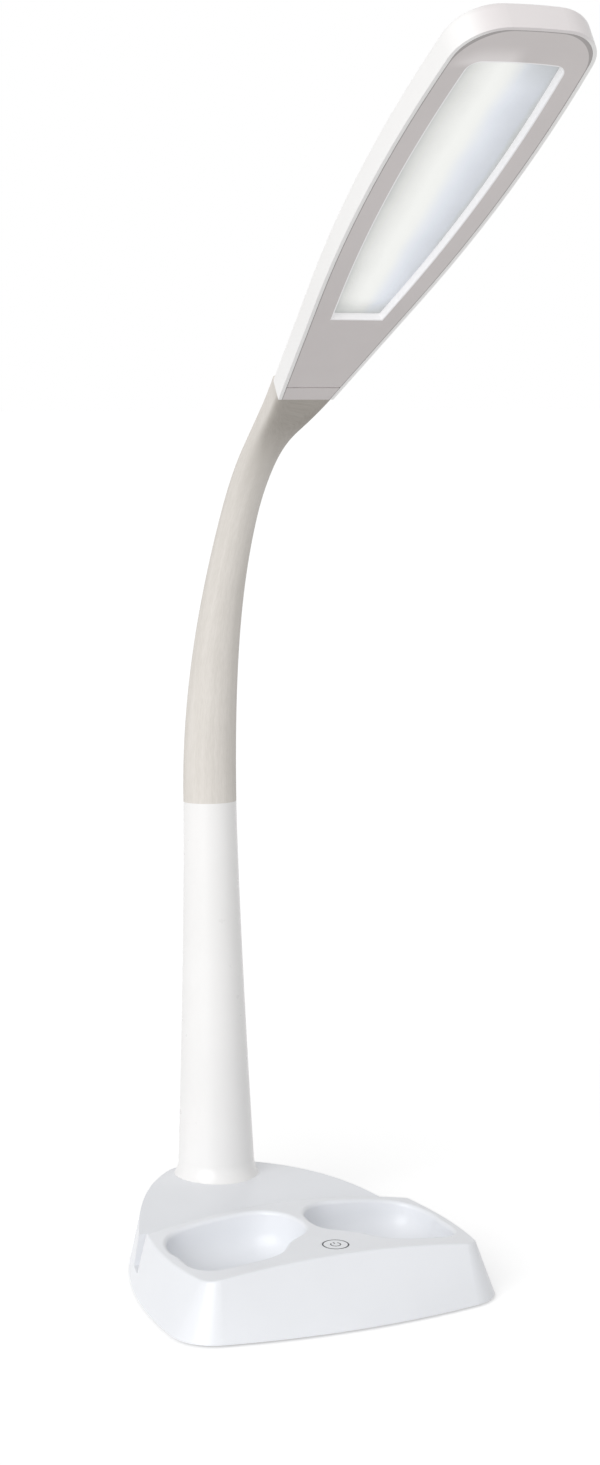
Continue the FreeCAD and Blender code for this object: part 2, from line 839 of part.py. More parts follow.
def neck_sleeve(k):
    """One length of the soft grey sleeve."""
    start, end = piece_ends(k)
    bore = core_rod(start - SKIN, end + SKIN, core_radius + core_clearance)
    return ball_ended(k, bent_rod(start, end, neck_radius)).cut(bore)


def gooseneck_core(k):
    """One length of the steel core inside the sleeve, with its wire passage. The first length
    reaches down into the stem."""
    start, end = piece_ends(k, -anchor_length)
    bore = core_rod(start - SKIN, end + SKIN, core_bore_radius)
    return ball_ended(k, core_rod(start, end, core_radius)).cut(bore)


def flare_section(s):
    """Closed section of the flare: round at the last joint, a rounded box at the head."""
    end = neck_length()
    start = joint_station(neck_joints - 1)
    share = (s - start) / (end - start)
    half_wide = neck_waist_radius + (flare_half_width - neck_waist_radius) * share ** flare_growth_power
    half_tall = neck_waist_radius + (0.5 * head_thickness - neck_waist_radius) * share
    power = 2.0 + flare_squareness * share ** flare_square_power
    place, angle = neck_point(s)
    normal = Vec(0, math.cos(angle), -math.sin(angle))
    points = []
    for k in range(24):
        turn = 2 * math.pi * k / 24
        wide = half_wide * math.copysign(abs(math.cos(turn)) ** (2 / power), math.cos(turn))
        tall = half_tall * math.copysign(abs(math.sin(turn)) ** (2 / power), math.sin(turn))
        points.append(place + SIDE * wide + normal * tall)
    curve = Part.BSplineCurve()
    curve.interpolate(points, True)
    return Part.Wire([curve.toShape()])


def neck_flare():
    """Grey end of the neck that opens out to the width of the head."""
    start = joint_station(neck_joints - 1)
    end = neck_length()
    wires = [flare_section(start + (end - start) * k / 7) for k in range(8)]
    flare = Part.makeLoft(wires, True, False)
    bore = core_rod(start, end + SKIN, core_radius + core_clearance)
    return flare.cut(joint_socket(neck_joints - 1)).cut(bore)


def head_ferrule():
    """Last length of the steel core, which runs into the head and takes a nut."""
    start = joint_station(neck_joints - 1)
    end = neck_length() + head_wall + ferrule_nut_thickness + ferrule_reach
    rod = core_rod(start, end, core_radius).cut(joint_socket(neck_joints - 1))
    return rod.cut(core_rod(start, end + SKIN, core_bore_radius))


# ======================= head =======================
# The head is built flat: y runs back from the tip's direction, so a length s from the bezel's
# rear seam lies at y = -s, and z is up from the bezel's face. head_frame then puts it in place.

def head_frame(shape):
    """Puts a shape of the flat head at the end of the neck."""
    place, angle = neck_point(neck_length())
    tilt = 90.0 + math.degrees(angle)
    turned = shape.copy()
    turned.translate(Vec(0, -head_root_length, -0.5 * head_thickness))
    turned.rotate(Vec(0, 0, 0), SIDE, -tilt)
    turned.translate(place)
    return turned


def head_side_radius():
    """Radius of each long side arc, from where it leaves the straight flank to the widest place."""
    turn = math.radians(head_flank_angle)
    flank_reach = head_root_half_width + (head_widest + head_root_length) * math.tan(turn)
    return (flank_reach - head_half_width) / (1 / math.cos(turn) - 1)


def head_outline(inset, z, root_y=head_root_length, tip_margin=0.0, corner=head_corner_radius):
    """Closed plan of the head, drawn in by an inset: straight flanks that run into long side
    arcs, round corners and a slightly bowed tip. It starts square at the root, which meets the
    side arcs where it lies past the flanks."""
    corner_radius = corner - inset
    side_radius = head_side_radius() - inset
    side_centre = (head_half_width - head_side_radius(), -head_widest)
    tip_radius = head_tip_radius - max(inset, tip_margin)
    tip_centre = (0.0, head_tip_radius - head_length)
    root_turn = math.degrees(math.asin((root_y + head_widest) / side_radius))
    flank_end = on_circle(side_centre, side_radius, min(head_flank_angle, root_turn), z)
    slope = -math.tan(math.radians(head_flank_angle))
    flank_start = Vec(flank_end.x + (root_y - flank_end.y) * slope, root_y, z)
    corner_centre = inner_corner(side_centre, side_radius, tip_centre, tip_radius, corner_radius)
    side_end_turn = heading(side_centre, corner_centre)
    side_end = on_circle(side_centre, side_radius, side_end_turn, z)
    side_middle = on_circle(side_centre, side_radius, 0.5 * (head_flank_angle + side_end_turn), z)
    tip_turn = heading(tip_centre, corner_centre)
    corner_end = on_circle(corner_centre, corner_radius, tip_turn, z)
    corner_middle = on_circle(corner_centre, corner_radius, 0.5 * (side_end_turn + tip_turn), z)
    tip = Vec(0, tip_centre[1] - tip_radius, z)
    half = [arc(flank_end, side_middle, side_end), arc(side_end, corner_middle, corner_end)]
    other = [arc(mirror(corner_end), mirror(corner_middle), mirror(side_end)),
             arc(mirror(side_end), mirror(side_middle), mirror(flank_end))]
    if root_turn > head_flank_angle:
        half.insert(0, Part.makeLine(flank_start, flank_end))
        other.append(Part.makeLine(mirror(flank_end), mirror(flank_start)))
    return Part.Wire(half + [arc(corner_end, tip, mirror(corner_end))] + other
                     + [Part.makeLine(mirror(flank_start), flank_start)])


def window_outline(growth, z):
    """Light window: inside the flanks by a margin, square at the root, rounded at the tip."""
    return head_outline(window_inset - growth, z, growth - window_start, window_end_margin - growth,
                        window_corner_radius + window_inset)


def lens_low():
    """Height of the diffuser's lower face."""
    return bevel_depth


def board_low():
    """Height of the LED board's lower face."""
    return lens_low() + lens_thickness + reflector_height


def spreader_top():
    """Height of the top of the heat spreader."""
    return board_low() + led_board_thickness + spreader_thickness


def led_screw_places():
    """Plan points of the screws that hold the LED board."""
    root_y = -(window_start - led_board_lap + led_screw_margin)
    tip_y = -(head_length - window_end_margin + led_board_lap - led_screw_margin)
    rows = ((0.5 * led_screw_root_spacing, root_y), (0.5 * led_screw_tip_spacing, tip_y))
    return [Vec(side * x, y, 0) for x, y in rows for side in (1, -1)]


def head_casing():
    """White upper shell of the head, open below."""
    shell = slab(head_outline(0.0, 0.0), head_thickness)
    tops = edges_at(shell, lambda p: p.z > head_thickness - RIM_SLACK)
    rims = [e for e in tops if e.BoundBox.YMin < head_root_length - SKIN]
    shell = shell.makeFillet(head_edge_radius, rims)
    pocket_root = head_root_length - head_wall
    ceiling = head_thickness - head_wall
    pocket = slab(head_outline(head_wall, -SKIN, pocket_root), ceiling + SKIN)
    for place in led_screw_places():
        pocket = pocket.cut(disc(led_boss_radius, FAR, place + UP * spreader_top()))
    mouth = slab(head_outline(head_wall, -SKIN, head_root_length + SKIN), bezel_thickness + SKIN)
    shell = shell.cut(pocket).cut(mouth)
    passage_start = Vec(0, head_root_length + SKIN, 0.5 * head_thickness)
    shell = shell.cut(disc(core_radius + core_clearance, head_wall + 2 * SKIN, passage_start, -BACK))
    for place in led_screw_places():
        screw_hole = disc(led_screw_radius, ceiling - spreader_top(), place + UP * spreader_top())
        shell = shell.cut(screw_hole)
    return head_frame(shell)


def head_bezel():
    """Grey face of the head, with a bevelled window and a groove across its root."""
    plate = slab(head_outline(head_wall + bezel_clearance, 0.0), bezel_thickness)
    half_groove = 0.5 * bezel_groove_width
    groove = block((-FAR, FAR), (-half_groove, half_groove), (-SKIN, bezel_groove_depth))
    frame = slab(window_outline(lens_lap, bezel_thickness), bevel_depth - bezel_thickness)
    mouth = [window_outline(0.0, 0.0), window_outline(-bevel_width, bevel_depth)]
    bevel = Part.makeLoft(mouth, True, True)
    return head_frame(plate.fuse(frame).removeSplitter().cut(bevel).cut(groove))


def diffuser():
    """Frosted sheet behind the window."""
    return head_frame(slab(window_outline(lens_lap, lens_low()), lens_thickness))


def reflector():
    """White frame with splayed walls between the diffuser and the LED board."""
    low = lens_low() + lens_thickness
    high = board_low()

    def funnel(inset):
        """Solid that fills the frame, drawn in by an inset."""
        rims = [window_outline(-inset, low), window_outline(-inset - reflector_splay, high)]
        return Part.makeLoft(rims, True, True)

    return head_frame(funnel(0.0).cut(funnel(reflector_wall)))


def led_board():
    """Aluminium circuit board that carries the LEDs."""
    board = slab(window_outline(led_board_lap, board_low()), led_board_thickness)
    for place in led_screw_places():
        board = board.cut(disc(led_screw_radius, FAR, place))
    return head_frame(board)


def led_chips():
    """Rows of LEDs under the board, one solid each."""
    chips = []
    for row in range(led_rows):
        x = (row - 0.5 * (led_rows - 1)) * led_row_spacing
        for column in range(led_columns):
            y = -(led_first + led_pitch * column)
            chips.append(block((x - 0.5 * led_width, x + 0.5 * led_width),
                               (y - 0.5 * led_length, y + 0.5 * led_length),
                               (board_low() - led_height, board_low())))
    return head_frame(Part.makeCompound(chips))


def heat_spreader():
    """Aluminium sheet on the back of the LED board."""
    low = board_low() + led_board_thickness
    sheet = slab(window_outline(led_board_lap, low), spreader_thickness)
    for place in led_screw_places():
        sheet = sheet.cut(disc(led_screw_radius, FAR, place))
    return head_frame(sheet)


def led_screws():
    """Four screws through board and spreader into the casing, one solid each."""
    screws = []
    low = board_low() - led_screw_head_height
    for place in led_screw_places():
        head = disc(led_screw_head_radius, led_screw_head_height, place + UP * low)
        reach = head_thickness - head_wall - led_screw_tip_gap - low
        shank = disc(led_screw_radius, reach, place + UP * low)
        screws.append(head.fuse(shank).removeSplitter())
    return head_frame(Part.makeCompound(screws))


def ferrule_nut():
    """Nut that pulls the neck's core into the head."""
    y = head_root_length - head_wall - ferrule_nut_thickness
    place = Vec(0, y, 0.5 * head_thickness)
    nut = ring(ferrule_nut_radius, core_radius, ferrule_nut_thickness, place, BACK)
    return head_frame(nut)


# ======================= write every piece =======================

def all_pieces():
    """Every sub-part by name."""
    pieces = {
        "base_shell": base_shell(), "bottom_cover": bottom_cover(), "cover_screws": cover_screws(),
        "anti_slip_pad": anti_slip_pad(), "ballast_plate": ballast_plate(),
        "power_button": power_button(), "switch_plunger": switch_plunger(),
        "tact_switch": tact_switch(), "control_board": control_board(), "board_screws": board_screws(),
        "usb_shell": usb_shell(), "usb_tongue": usb_tongue(), "dc_inlet": dc_inlet(), "dc_pin": dc_pin(),
        "stem_shell": stem_shell(), "stem_washer": stem_washer(), "stem_nut": stem_nut(),
        "gooseneck_anchor": gooseneck_anchor(),
        "neck_flare": neck_flare(), "head_ferrule": head_ferrule(), "ferrule_nut": ferrule_nut(),
        "head_casing": head_casing(), "head_bezel": head_bezel(), "diffuser": diffuser(),
        "reflector": reflector(), "led_board": led_board(), "led_chips": led_chips(),
        "heat_spreader": heat_spreader(), "led_screws": led_screws()}
    for k in range(neck_joints):
        pieces["neck_sleeve_%d" % k] = neck_sleeve(k)
        pieces["gooseneck_core_%d" % k] = gooseneck_core(k)
    return pieces


os.makedirs("parts", exist_ok=True)
for name, shape in all_pieces().items():
    box = shape.BoundBox
    print("%-18s solids %d valid %s volume %.1f  x %.1f %.1f  y %.1f %.1f  z %.1f %.1f" % (
        name, len(shape.Solids), shape.isValid(), shape.Volume,
        box.XMin, box.XMax, box.YMin, box.YMax, box.ZMin, box.ZMax))
    shape.exportStep("parts/" + name + ".step")
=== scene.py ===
"""Desk lamp with a storage base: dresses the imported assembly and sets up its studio."""

import math

import bpy
import numpy as np
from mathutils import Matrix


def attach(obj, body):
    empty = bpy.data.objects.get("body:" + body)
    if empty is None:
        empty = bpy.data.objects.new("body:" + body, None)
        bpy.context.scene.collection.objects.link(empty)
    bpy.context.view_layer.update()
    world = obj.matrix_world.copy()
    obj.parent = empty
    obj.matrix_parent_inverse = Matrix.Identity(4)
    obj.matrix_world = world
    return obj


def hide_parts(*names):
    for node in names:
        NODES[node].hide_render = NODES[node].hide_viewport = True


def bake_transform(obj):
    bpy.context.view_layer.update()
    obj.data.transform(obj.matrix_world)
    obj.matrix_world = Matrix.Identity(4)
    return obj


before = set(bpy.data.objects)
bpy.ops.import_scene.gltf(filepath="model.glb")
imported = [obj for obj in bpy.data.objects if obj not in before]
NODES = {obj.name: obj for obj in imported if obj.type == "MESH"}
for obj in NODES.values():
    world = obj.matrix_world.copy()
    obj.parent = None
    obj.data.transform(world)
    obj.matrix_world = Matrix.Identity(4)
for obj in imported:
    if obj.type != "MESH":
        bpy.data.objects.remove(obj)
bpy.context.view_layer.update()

bl_info = {
    "name": "Desk Lamp Finish",
    "version": (1, 0, 0),
    "blender": (4, 5, 0),
    "location": "View3D > Sidebar > Desk Lamp",
    "description": "Finishes, soft neck, button marks and studio for a lamp with a storage base",
    "category": "Object",
}

MILLIMETRE = 0.001
NECK_BODIES = ["base"] + [f"neck_{number}" for number in range(1, 9)] + ["head"]
NECK_JOINTS = len(NECK_BODIES) - 1

# Rows along a piece of the neck, and points round it.
SLEEVE_GRID = (24, 96)
FLARE_GRID = (40, 128)

# Points along each line of the button's marks.
RING_POINTS, ARC_POINTS, BAR_POINTS = 96, 48, 24

# Patterns of the finishes, in features to the metre.
FLOW_CLOUDS, MOULD_CLOUDS = 16.0, 28.0
GLOSS_HAZE, ORANGE_PEEL = 75.0, 620.0
SPARK_GRAIN, BEZEL_GRAIN, FROST_GRAIN = 2400.0, 2600.0, 2600.0
COVER_GRAIN, INK_GRAIN, MOULDING_GRAIN, REFLECTOR_GRAIN = 1600.0, 3000.0, 2200.0, 2000.0
SLEEVE_CLOUDS, SLEEVE_STRANDS, SLEEVE_FIBRES = 34.0, 300.0, 1900.0
WINDOW_CLOUDS, WINDOW_PATCHES = 22.0, 60.0
DRAWN_LINES, METAL_STAINS = 3200.0, 130.0
RUBBER_PORES, RUBBER_DUST = 1900.0, 60.0
BOARD_LANES, BOARD_WEAVE = 260.0, 1500.0
PHOSPHOR_SPECKS = 4200.0
FLOOR_SPECKS = 40.0

# Depths of their reliefs, in metres.
PEEL_RELIEF = 0.004 * MILLIMETRE
SPARK_RELIEF, BEZEL_RELIEF, FROST_RELIEF = 0.03 * MILLIMETRE, 0.025 * MILLIMETRE, 0.02 * MILLIMETRE
SLEEVE_RELIEF, RUBBER_RELIEF = 0.06 * MILLIMETRE, 0.05 * MILLIMETRE
METAL_RELIEF, BOARD_RELIEF = 0.006 * MILLIMETRE, 0.03 * MILLIMETRE

# How far changes of tone reach on the head, most of them painted shade and painted light, and over
# what length they ease off, in metres.
TIP_REACH, TIP_EASE = 7.0 * MILLIMETRE, 6.0 * MILLIMETRE
WALL_LEVEL, WALL_REACH = 0.25 * MILLIMETRE, 4.0 * MILLIMETRE
SPILL_START, SPILL_EASE, SPILL_REACH = 4.0 * MILLIMETRE, 5.0 * MILLIMETRE, 12.0 * MILLIMETRE
RIM_REACH, RIM_EASE = 5.0 * MILLIMETRE, 6.0 * MILLIMETRE
ROOT_REACH, FAR_REACH = 15.0 * MILLIMETRE, 24.0 * MILLIMETRE
LEAN_REACH, LEAN_EASE = 75.0 * MILLIMETRE, 60.0 * MILLIMETRE


# ------------------------------------------------------------------ sizes and colours


def tint(red, green, blue):
    """Scene-linear colour of a paint chip given by its three 0 to 255 display values."""
    shares = (red / 255, green / 255, blue / 255)
    return tuple(s / 12.92 if s < 0.04045 else ((s + 0.055) / 1.055) ** 2.4 for s in shares)


def length_size(name, description, millimetres):
    """A property that holds one length."""
    return bpy.props.FloatProperty(name=name, description=description, unit="LENGTH", min=0.0,
                                   precision=5, default=millimetres * MILLIMETRE)


def angle_size(name, description, degrees):
    """A property that holds one angle."""
    return bpy.props.FloatProperty(name=name, description=description, subtype="ANGLE",
                                   default=math.radians(degrees))


def paint(name, description, colour):
    """A property that holds one colour."""
    return bpy.props.FloatVectorProperty(name=name, description=description, subtype="COLOR",
                                         size=3, min=0.0, max=1.0, default=colour)


class LampSizes(bpy.types.PropertyGroup):
    """Sizes of the pieces that are made here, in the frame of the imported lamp."""

    stem_lean: angle_size("Stem lean", "Backward lean of the stem", 2.0)
    stem_length: length_size("Stem length", "From the table to the seam with the neck", 240.0)
    stem_top_radius: length_size("Stem top radius", "Radius where the neck begins", 14.7)
    lower_length: length_size("Lower bend length", "Length of the neck's lower bend", 170.0)
    lower_turn: angle_size("Lower bend turn", "Forward turn of the lower bend", 34.6)
    middle_length: length_size("Middle bend length", "Length of the neck's middle bend", 74.0)
    middle_turn: angle_size("Middle bend turn", "Forward turn of the middle bend", 29.8)
    upper_length: length_size("Upper bend length", "Length of the neck's upper bend", 32.0)
    upper_turn: angle_size("Upper bend turn", "Forward turn of the upper bend", -5.0)
    waist_radius: length_size("Waist radius", "Radius of the neck's thinnest part", 9.4)
    taper_length: length_size("Taper length", "Length over which the neck thins", 192.0)
    first_joint: length_size("First joint", "From the stem's seam to the lowest joint", 22.0)
    last_joint: length_size("Last joint", "From the stem's seam to the joint at the head", 208.0)
    flare_half_width: length_size("Flare half width", "Half the neck's width at the head", 15.0)
    flare_half_height: length_size("Flare half height", "Half the neck's height at the head", 7.3)
    flare_growth: bpy.props.FloatProperty(
        name="Flare growth", description="How late the neck's end widens", default=1.66, min=1.0)
    flare_squareness: bpy.props.FloatProperty(
        name="Flare squareness", description="How boxy the neck's end is", default=7.0, min=0.0)
    flare_fold: bpy.props.FloatProperty(
        name="Flare fold", description="How late the neck's end turns boxy", default=3.0, min=1.0)
    sleeve_wall: length_size("Sleeve wall", "Thickness of the sleeve round the steel core", 3.0)
    button_front: length_size("Button setback", "From the stem forward to the button", 158.5)
    button_radius: length_size("Button radius", "Radius of the power button", 6.8)
    ring_width: length_size("Ring width", "Width of the dark ring printed on the button", 0.6)
    symbol_radius: length_size("Symbol radius", "Radius of the power symbol's arc", 2.5)
    symbol_width: length_size("Symbol width", "Width of the power symbol's lines", 0.6)
    head_root: length_size("Head root", "From the neck's end to the seam of the head's face", 11.0)
    head_root_half_width: length_size(
        "Head root half width", "Half the head's width at the neck", 15.0)
    head_half_width: length_size("Head half width", "Half the head's greatest width", 35.7)
    head_widest: length_size("Head's widest place", "From the seam to the widest place", 197.0)
    head_side_radius: length_size("Head side radius", "Radius of the head's bowed sides", 870.0)
    head_tip_radius: length_size("Head tip radius", "Radius of the head's bowed tip", 220.0)
    head_corner_radius: length_size("Head corner radius", "Radius of the corners at the tip", 22.0)
    head_length: length_size("Head length", "From the seam to the tip", 269.3)
    bezel_inset: length_size("Bezel inset", "From the head's side to the grey plate", 1.9)
    window_inset: length_size("Window inset", "From the head's side to the window", 11.6)
    window_start: length_size("Window start", "From the seam to the window", 59.4)
    window_margin: length_size("Window margin", "From the head's tip to the window", 22.0)
    window_corner: length_size("Window corner", "Radius of the window's corners", 5.0)
    # Painted highlight: a pale line round the window.
    lip_highlight_width: length_size("Lip width", "Width of the pale lip round the window", 0.7)
    # Painted shade along the grey plate's outer edge, where it meets the casing.
    edge_shade_width: length_size("Gap width", "Width of the shaded edge of the grey plate", 0.6)


class LampColours(bpy.types.PropertyGroup):
    """Colours of the lamp's finishes."""

    housing: paint("Housing", "Gloss white plastic of the stem", tint(243, 242, 241))
    casing: paint("Casing", "White plastic of the head", tint(249, 248, 247))
    # Painted shade: a greyer white that stands in for shade where the head's tip turns down.
    tip: paint("Head tip", "The head's white where it turns down at the tip", tint(232, 227, 227))
    tray: paint("Tray", "Cool gloss white plastic of the base", tint(240, 242, 246))
    bezel: paint("Bezel", "Satin grey of the head's face", tint(219, 213, 212))
    # Painted light: the near white and glow of the window's sides, standing in for the lights
    # falling on them.
    bevel: paint("Bevel", "Near white walls of the window's opening", tint(246, 245, 246))
    sleeve: paint("Sleeve", "Soft grey of the neck", tint(229, 224, 218))
    sleeve_streak: paint("Sleeve streak", "Darker streaks of the neck", tint(212, 207, 200))
    # Painted shade: the darker colour that stands in for shade on the underside of the neck's end.
    sleeve_underside_shade: paint("Sleeve fold", "Dull underside of the neck's end", tint(164, 158, 150))
    window_warm: paint("Window, lit part", "Diffuser over the lights", tint(248, 249, 246))
    window_cool: paint("Window, cool part", "Diffuser away from the lights", tint(216, 220, 227))
    window_edge: paint("Window, edge", "Diffuser along its shaded edge", tint(208, 211, 209))
    marks: paint("Marks", "Ring and power symbol", tint(50, 52, 58))
    cover: paint("Cover", "Bottom cover and ports' surround", tint(226, 226, 224))
    rubber: paint("Rubber", "Anti-slip pad", tint(58, 58, 60))
    floor: paint("Floor", "Floor and backdrop", tint(243, 243, 243))


# ------------------------------------------------------------------ finishes


class Wire:
    """A value on a node's output. Arithmetic on it adds the Math nodes that it needs."""

    def __init__(self, finish, socket):
        self.finish = finish
        self.socket = socket

    def maths(self, operation, first, second):
        """The value of a Math node on two numbers or wires."""
        return self.finish.node("ShaderNodeMath", {"operation": operation}, {0: first, 1: second})

    def __add__(self, other):
        return self.maths("ADD", self, other)

    def __radd__(self, other):
        return self.maths("ADD", other, self)

    def __sub__(self, other):
        return self.maths("SUBTRACT", self, other)

    def __rsub__(self, other):
        return self.maths("SUBTRACT", other, self)

    def __mul__(self, other):
        return self.maths("MULTIPLY", self, other)

    def __rmul__(self, other):
        return self.maths("MULTIPLY", other, self)

    def __truediv__(self, other):
        return self.maths("DIVIDE", self, other)

    def __rtruediv__(self, other):
        return self.maths("DIVIDE", other, self)

    def __pow__(self, other):
        return self.maths("POWER", self, other)

    def __gt__(self, other):
        return self.maths("GREATER_THAN", self, other)

    def __lt__(self, other):
        return self.maths("LESS_THAN", self, other)


class Finish:
    """A shader under construction in one node tree."""

    def __init__(self, tree):
        self.tree = tree
        tree.nodes.clear()

    def node(self, kind, settings=None, sockets=None, out=0):
        """Adds one node: its settings first, then its sockets' values or links."""
        made = self.tree.nodes.new(kind)
        for key, value in (settings or {}).items():
            if key == "stops":
                self.set_stops(made.color_ramp.elements, value)
            else:
                setattr(made, key, value)
        for key, value in (sockets or {}).items():
            if isinstance(value, Wire):
                self.tree.links.new(value.socket, made.inputs[key])
            else:
                made.inputs[key].default_value = value
        return Wire(self, made.outputs[out]) if made.outputs else made

    @staticmethod
    def set_stops(elements, stops):
        """Puts a ramp's stops, each a place from 0 to 1 and a colour."""
        while len(elements) < len(stops):
            elements.new(1.0)
        for element, (place, colour) in zip(elements, stops):
            element.position = place
            element.color = (*colour, 1.0)

    def place(self):
        """Object coordinates, in metres."""
        return self.node("ShaderNodeTexCoord", out=3)

    def scaled(self, vector, scale):
        """A vector stretched along its three axes."""
        return self.node("ShaderNodeVectorMath", {"operation": "MULTIPLY"}, {0: vector, 1: scale})

    def grain(self, vector, scale, detail=2.0, roughness=0.5):
        """Soft random pattern from 0 to 1, with so many features to the metre."""
        return self.node("ShaderNodeTexNoise", {"noise_dimensions": "3D"},
                         {"Vector": vector, "Scale": scale, "Detail": detail,
                          "Roughness": roughness})

    def mixed(self, factor, first, second):
        """One colour turning into another as a factor goes from 0 to 1."""
        colours = [c if isinstance(c, Wire) else (*c, 1.0) for c in (first, second)]
        return self.node("ShaderNodeMix", {"data_type": "RGBA"},
                         {0: factor, 6: colours[0], 7: colours[1]}, out=2)

    def clamped(self, value, low=0.0, high=1.0):
        """A value held between two limits."""
        return self.node("ShaderNodeClamp", None, {"Value": value, "Min": low, "Max": high})

    def stretched(self, value, low, high):
        """A value as a share, eased from 0 at a low limit to 1 at a high one."""
        return self.node("ShaderNodeMapRange", {"interpolation_type": "SMOOTHSTEP"},
                         {"Value": value, "From Min": low, "From Max": high})

    def near(self, distance, reach, ease):
        """1 close by, easing to 0 where a distance comes up to a reach."""
        return self.stretched(reach - distance, 0.0, ease)

    def least(self, first, second):
        """The lesser of two values."""
        return self.node("ShaderNodeMath", {"operation": "MINIMUM"}, {0: first, 1: second})

    def rounded(self, first, second, radius):
        """Distance inside a corner from the distances inside its two sides: the radius less the
        hypotenuse of what each distance falls short of it, or less if that is nearer."""
        short = [self.clamped(radius - side, 0.0, 1.0) for side in (first, second)]
        return radius - (short[0] * short[0] + short[1] * short[1]) ** 0.5

    def bumped(self, height, depth, strength=1.0):
        """Surface direction of a relief of a given depth in metres."""
        return self.node("ShaderNodeBump", None,
                         {"Height": height, "Distance": depth, "Strength": strength})

    def surface(self, sockets):
        """Ends the tree in one Principled shader."""
        shader = self.node("ShaderNodeBsdfPrincipled", None, sockets)
        self.node("ShaderNodeOutputMaterial", None, {"Surface": shader})


def new_finish(name):
    """A material with an empty tree, and the finish that fills it."""
    material = bpy.data.materials.new(name)
    material.use_nodes = True
    return material, Finish(material.node_tree)


def darker(colour, share):
    """A colour at a share of its brightness."""
    return tuple(share * channel for channel in colour)


def gloss_plastic(name, colour, roughness=0.24):
    """Polished moulded plastic: faint flow clouds, faint orange peel, small changes of gloss."""
    material, finish = new_finish(name)
    place = finish.place()
    cloud = finish.grain(place, FLOW_CLOUDS, 3.0)
    haze = finish.grain(place, GLOSS_HAZE, 4.0, 0.6)
    peel = finish.grain(place, ORANGE_PEEL, 1.0)
    finish.surface({
        "Base Color": finish.mixed(finish.stretched(cloud, 0.3, 0.7),
                                   darker(colour, 0.97), colour),
        "Roughness": roughness + 0.10 * haze,
        "Normal": finish.bumped(peel, PEEL_RELIEF, 0.5),
        "Coat Weight": 0.2,
        "Coat Roughness": 0.12,
        "Specular IOR Level": 0.45,
    })
    return material


def satin_plastic(name, colour, grains_per_metre=SPARK_GRAIN, roughness=0.46):
    """Plastic with the fine spark-eroded grain of a textured mould."""
    material, finish = new_finish(name)
    place = finish.place()
    cloud = finish.grain(place, MOULD_CLOUDS, 3.0)
    pits = finish.grain(place, grains_per_metre, 2.0, 0.65)
    tone = finish.clamped(0.75 * cloud + 0.25 * pits)
    finish.surface({
        "Base Color": finish.mixed(tone, darker(colour, 0.93), darker(colour, 1.04)),
        "Roughness": roughness + 0.14 * pits,
        "Normal": finish.bumped(pits, SPARK_RELIEF, 0.6),
        "Specular IOR Level": 0.4,
    })
    return material


def metal(name, colour, roughness, along=(1.0, 1.0, 0.06)):
    """Plain plated or bare metal with fine drawn lines."""
    material, finish = new_finish(name)
    place = finish.place()
    lines = finish.grain(finish.scaled(place, along), DRAWN_LINES, 2.0)
    stain = finish.grain(place, METAL_STAINS, 3.0)
    finish.surface({
        "Base Color": finish.mixed(stain, darker(colour, 0.86), colour),
        "Roughness": roughness + 0.16 * lines,
        "Metallic": 1.0,
        "Normal": finish.bumped(lines, METAL_RELIEF, 0.4),
    })
    return material


def sheet_rubber(name, colour):
    """Dull die-cut rubber with a fine tight grain and a little dust."""
    material, finish = new_finish(name)
    place = finish.place()
    pores = finish.grain(place, RUBBER_PORES, 3.0, 0.7)
    dust = finish.stretched(finish.grain(place, RUBBER_DUST, 4.0), 0.45, 0.8)
    finish.surface({
        "Base Color": finish.mixed(0.3 * dust, colour, tint(150, 148, 144)),
        "Roughness": 0.74 + 0.2 * pores,
        "Normal": finish.bumped(pores, RUBBER_RELIEF, 0.7),
        "Specular IOR Level": 0.3,
    })
    return material


def circuit_board(name, mask, track):
    """Solder mask over copper tracks that run in straight lanes."""
    material, finish = new_finish(name)
    place = finish.place()
    black, white = (0.0, 0.0, 0.0, 1.0), (1.0, 1.0, 1.0, 1.0)
    lanes = finish.node("ShaderNodeTexBrick", {"offset": 0.5, "squash": 1.0},
                        {"Vector": place, "Scale": BOARD_LANES, "Mortar Size": 0.09,
                         "Mortar Smooth": 0.2, "Color1": black, "Color2": black,
                         "Mortar": white}, out=1)
    weave = finish.grain(place, BOARD_WEAVE, 1.0)
    finish.surface({
        "Base Color": finish.mixed(lanes, darker(mask, 0.95), track),
        "Roughness": 0.34 + 0.12 * weave,
        "Normal": finish.bumped(lanes, BOARD_RELIEF, 0.6),
    })
    return material


def phosphor(name):
    """Yellow phosphor in a white package."""
    material, finish = new_finish(name)
    specks = finish.grain(finish.place(), PHOSPHOR_SPECKS, 2.0)
    finish.surface({
        "Base Color": finish.mixed(specks, tint(244, 214, 96), tint(250, 232, 150)),
        "Roughness": 0.4 + 0.2 * specks,
        "Emission Color": finish.mixed(specks, tint(255, 236, 190), tint(255, 246, 220)),
        "Emission Strength": 0.5,
    })
    return material


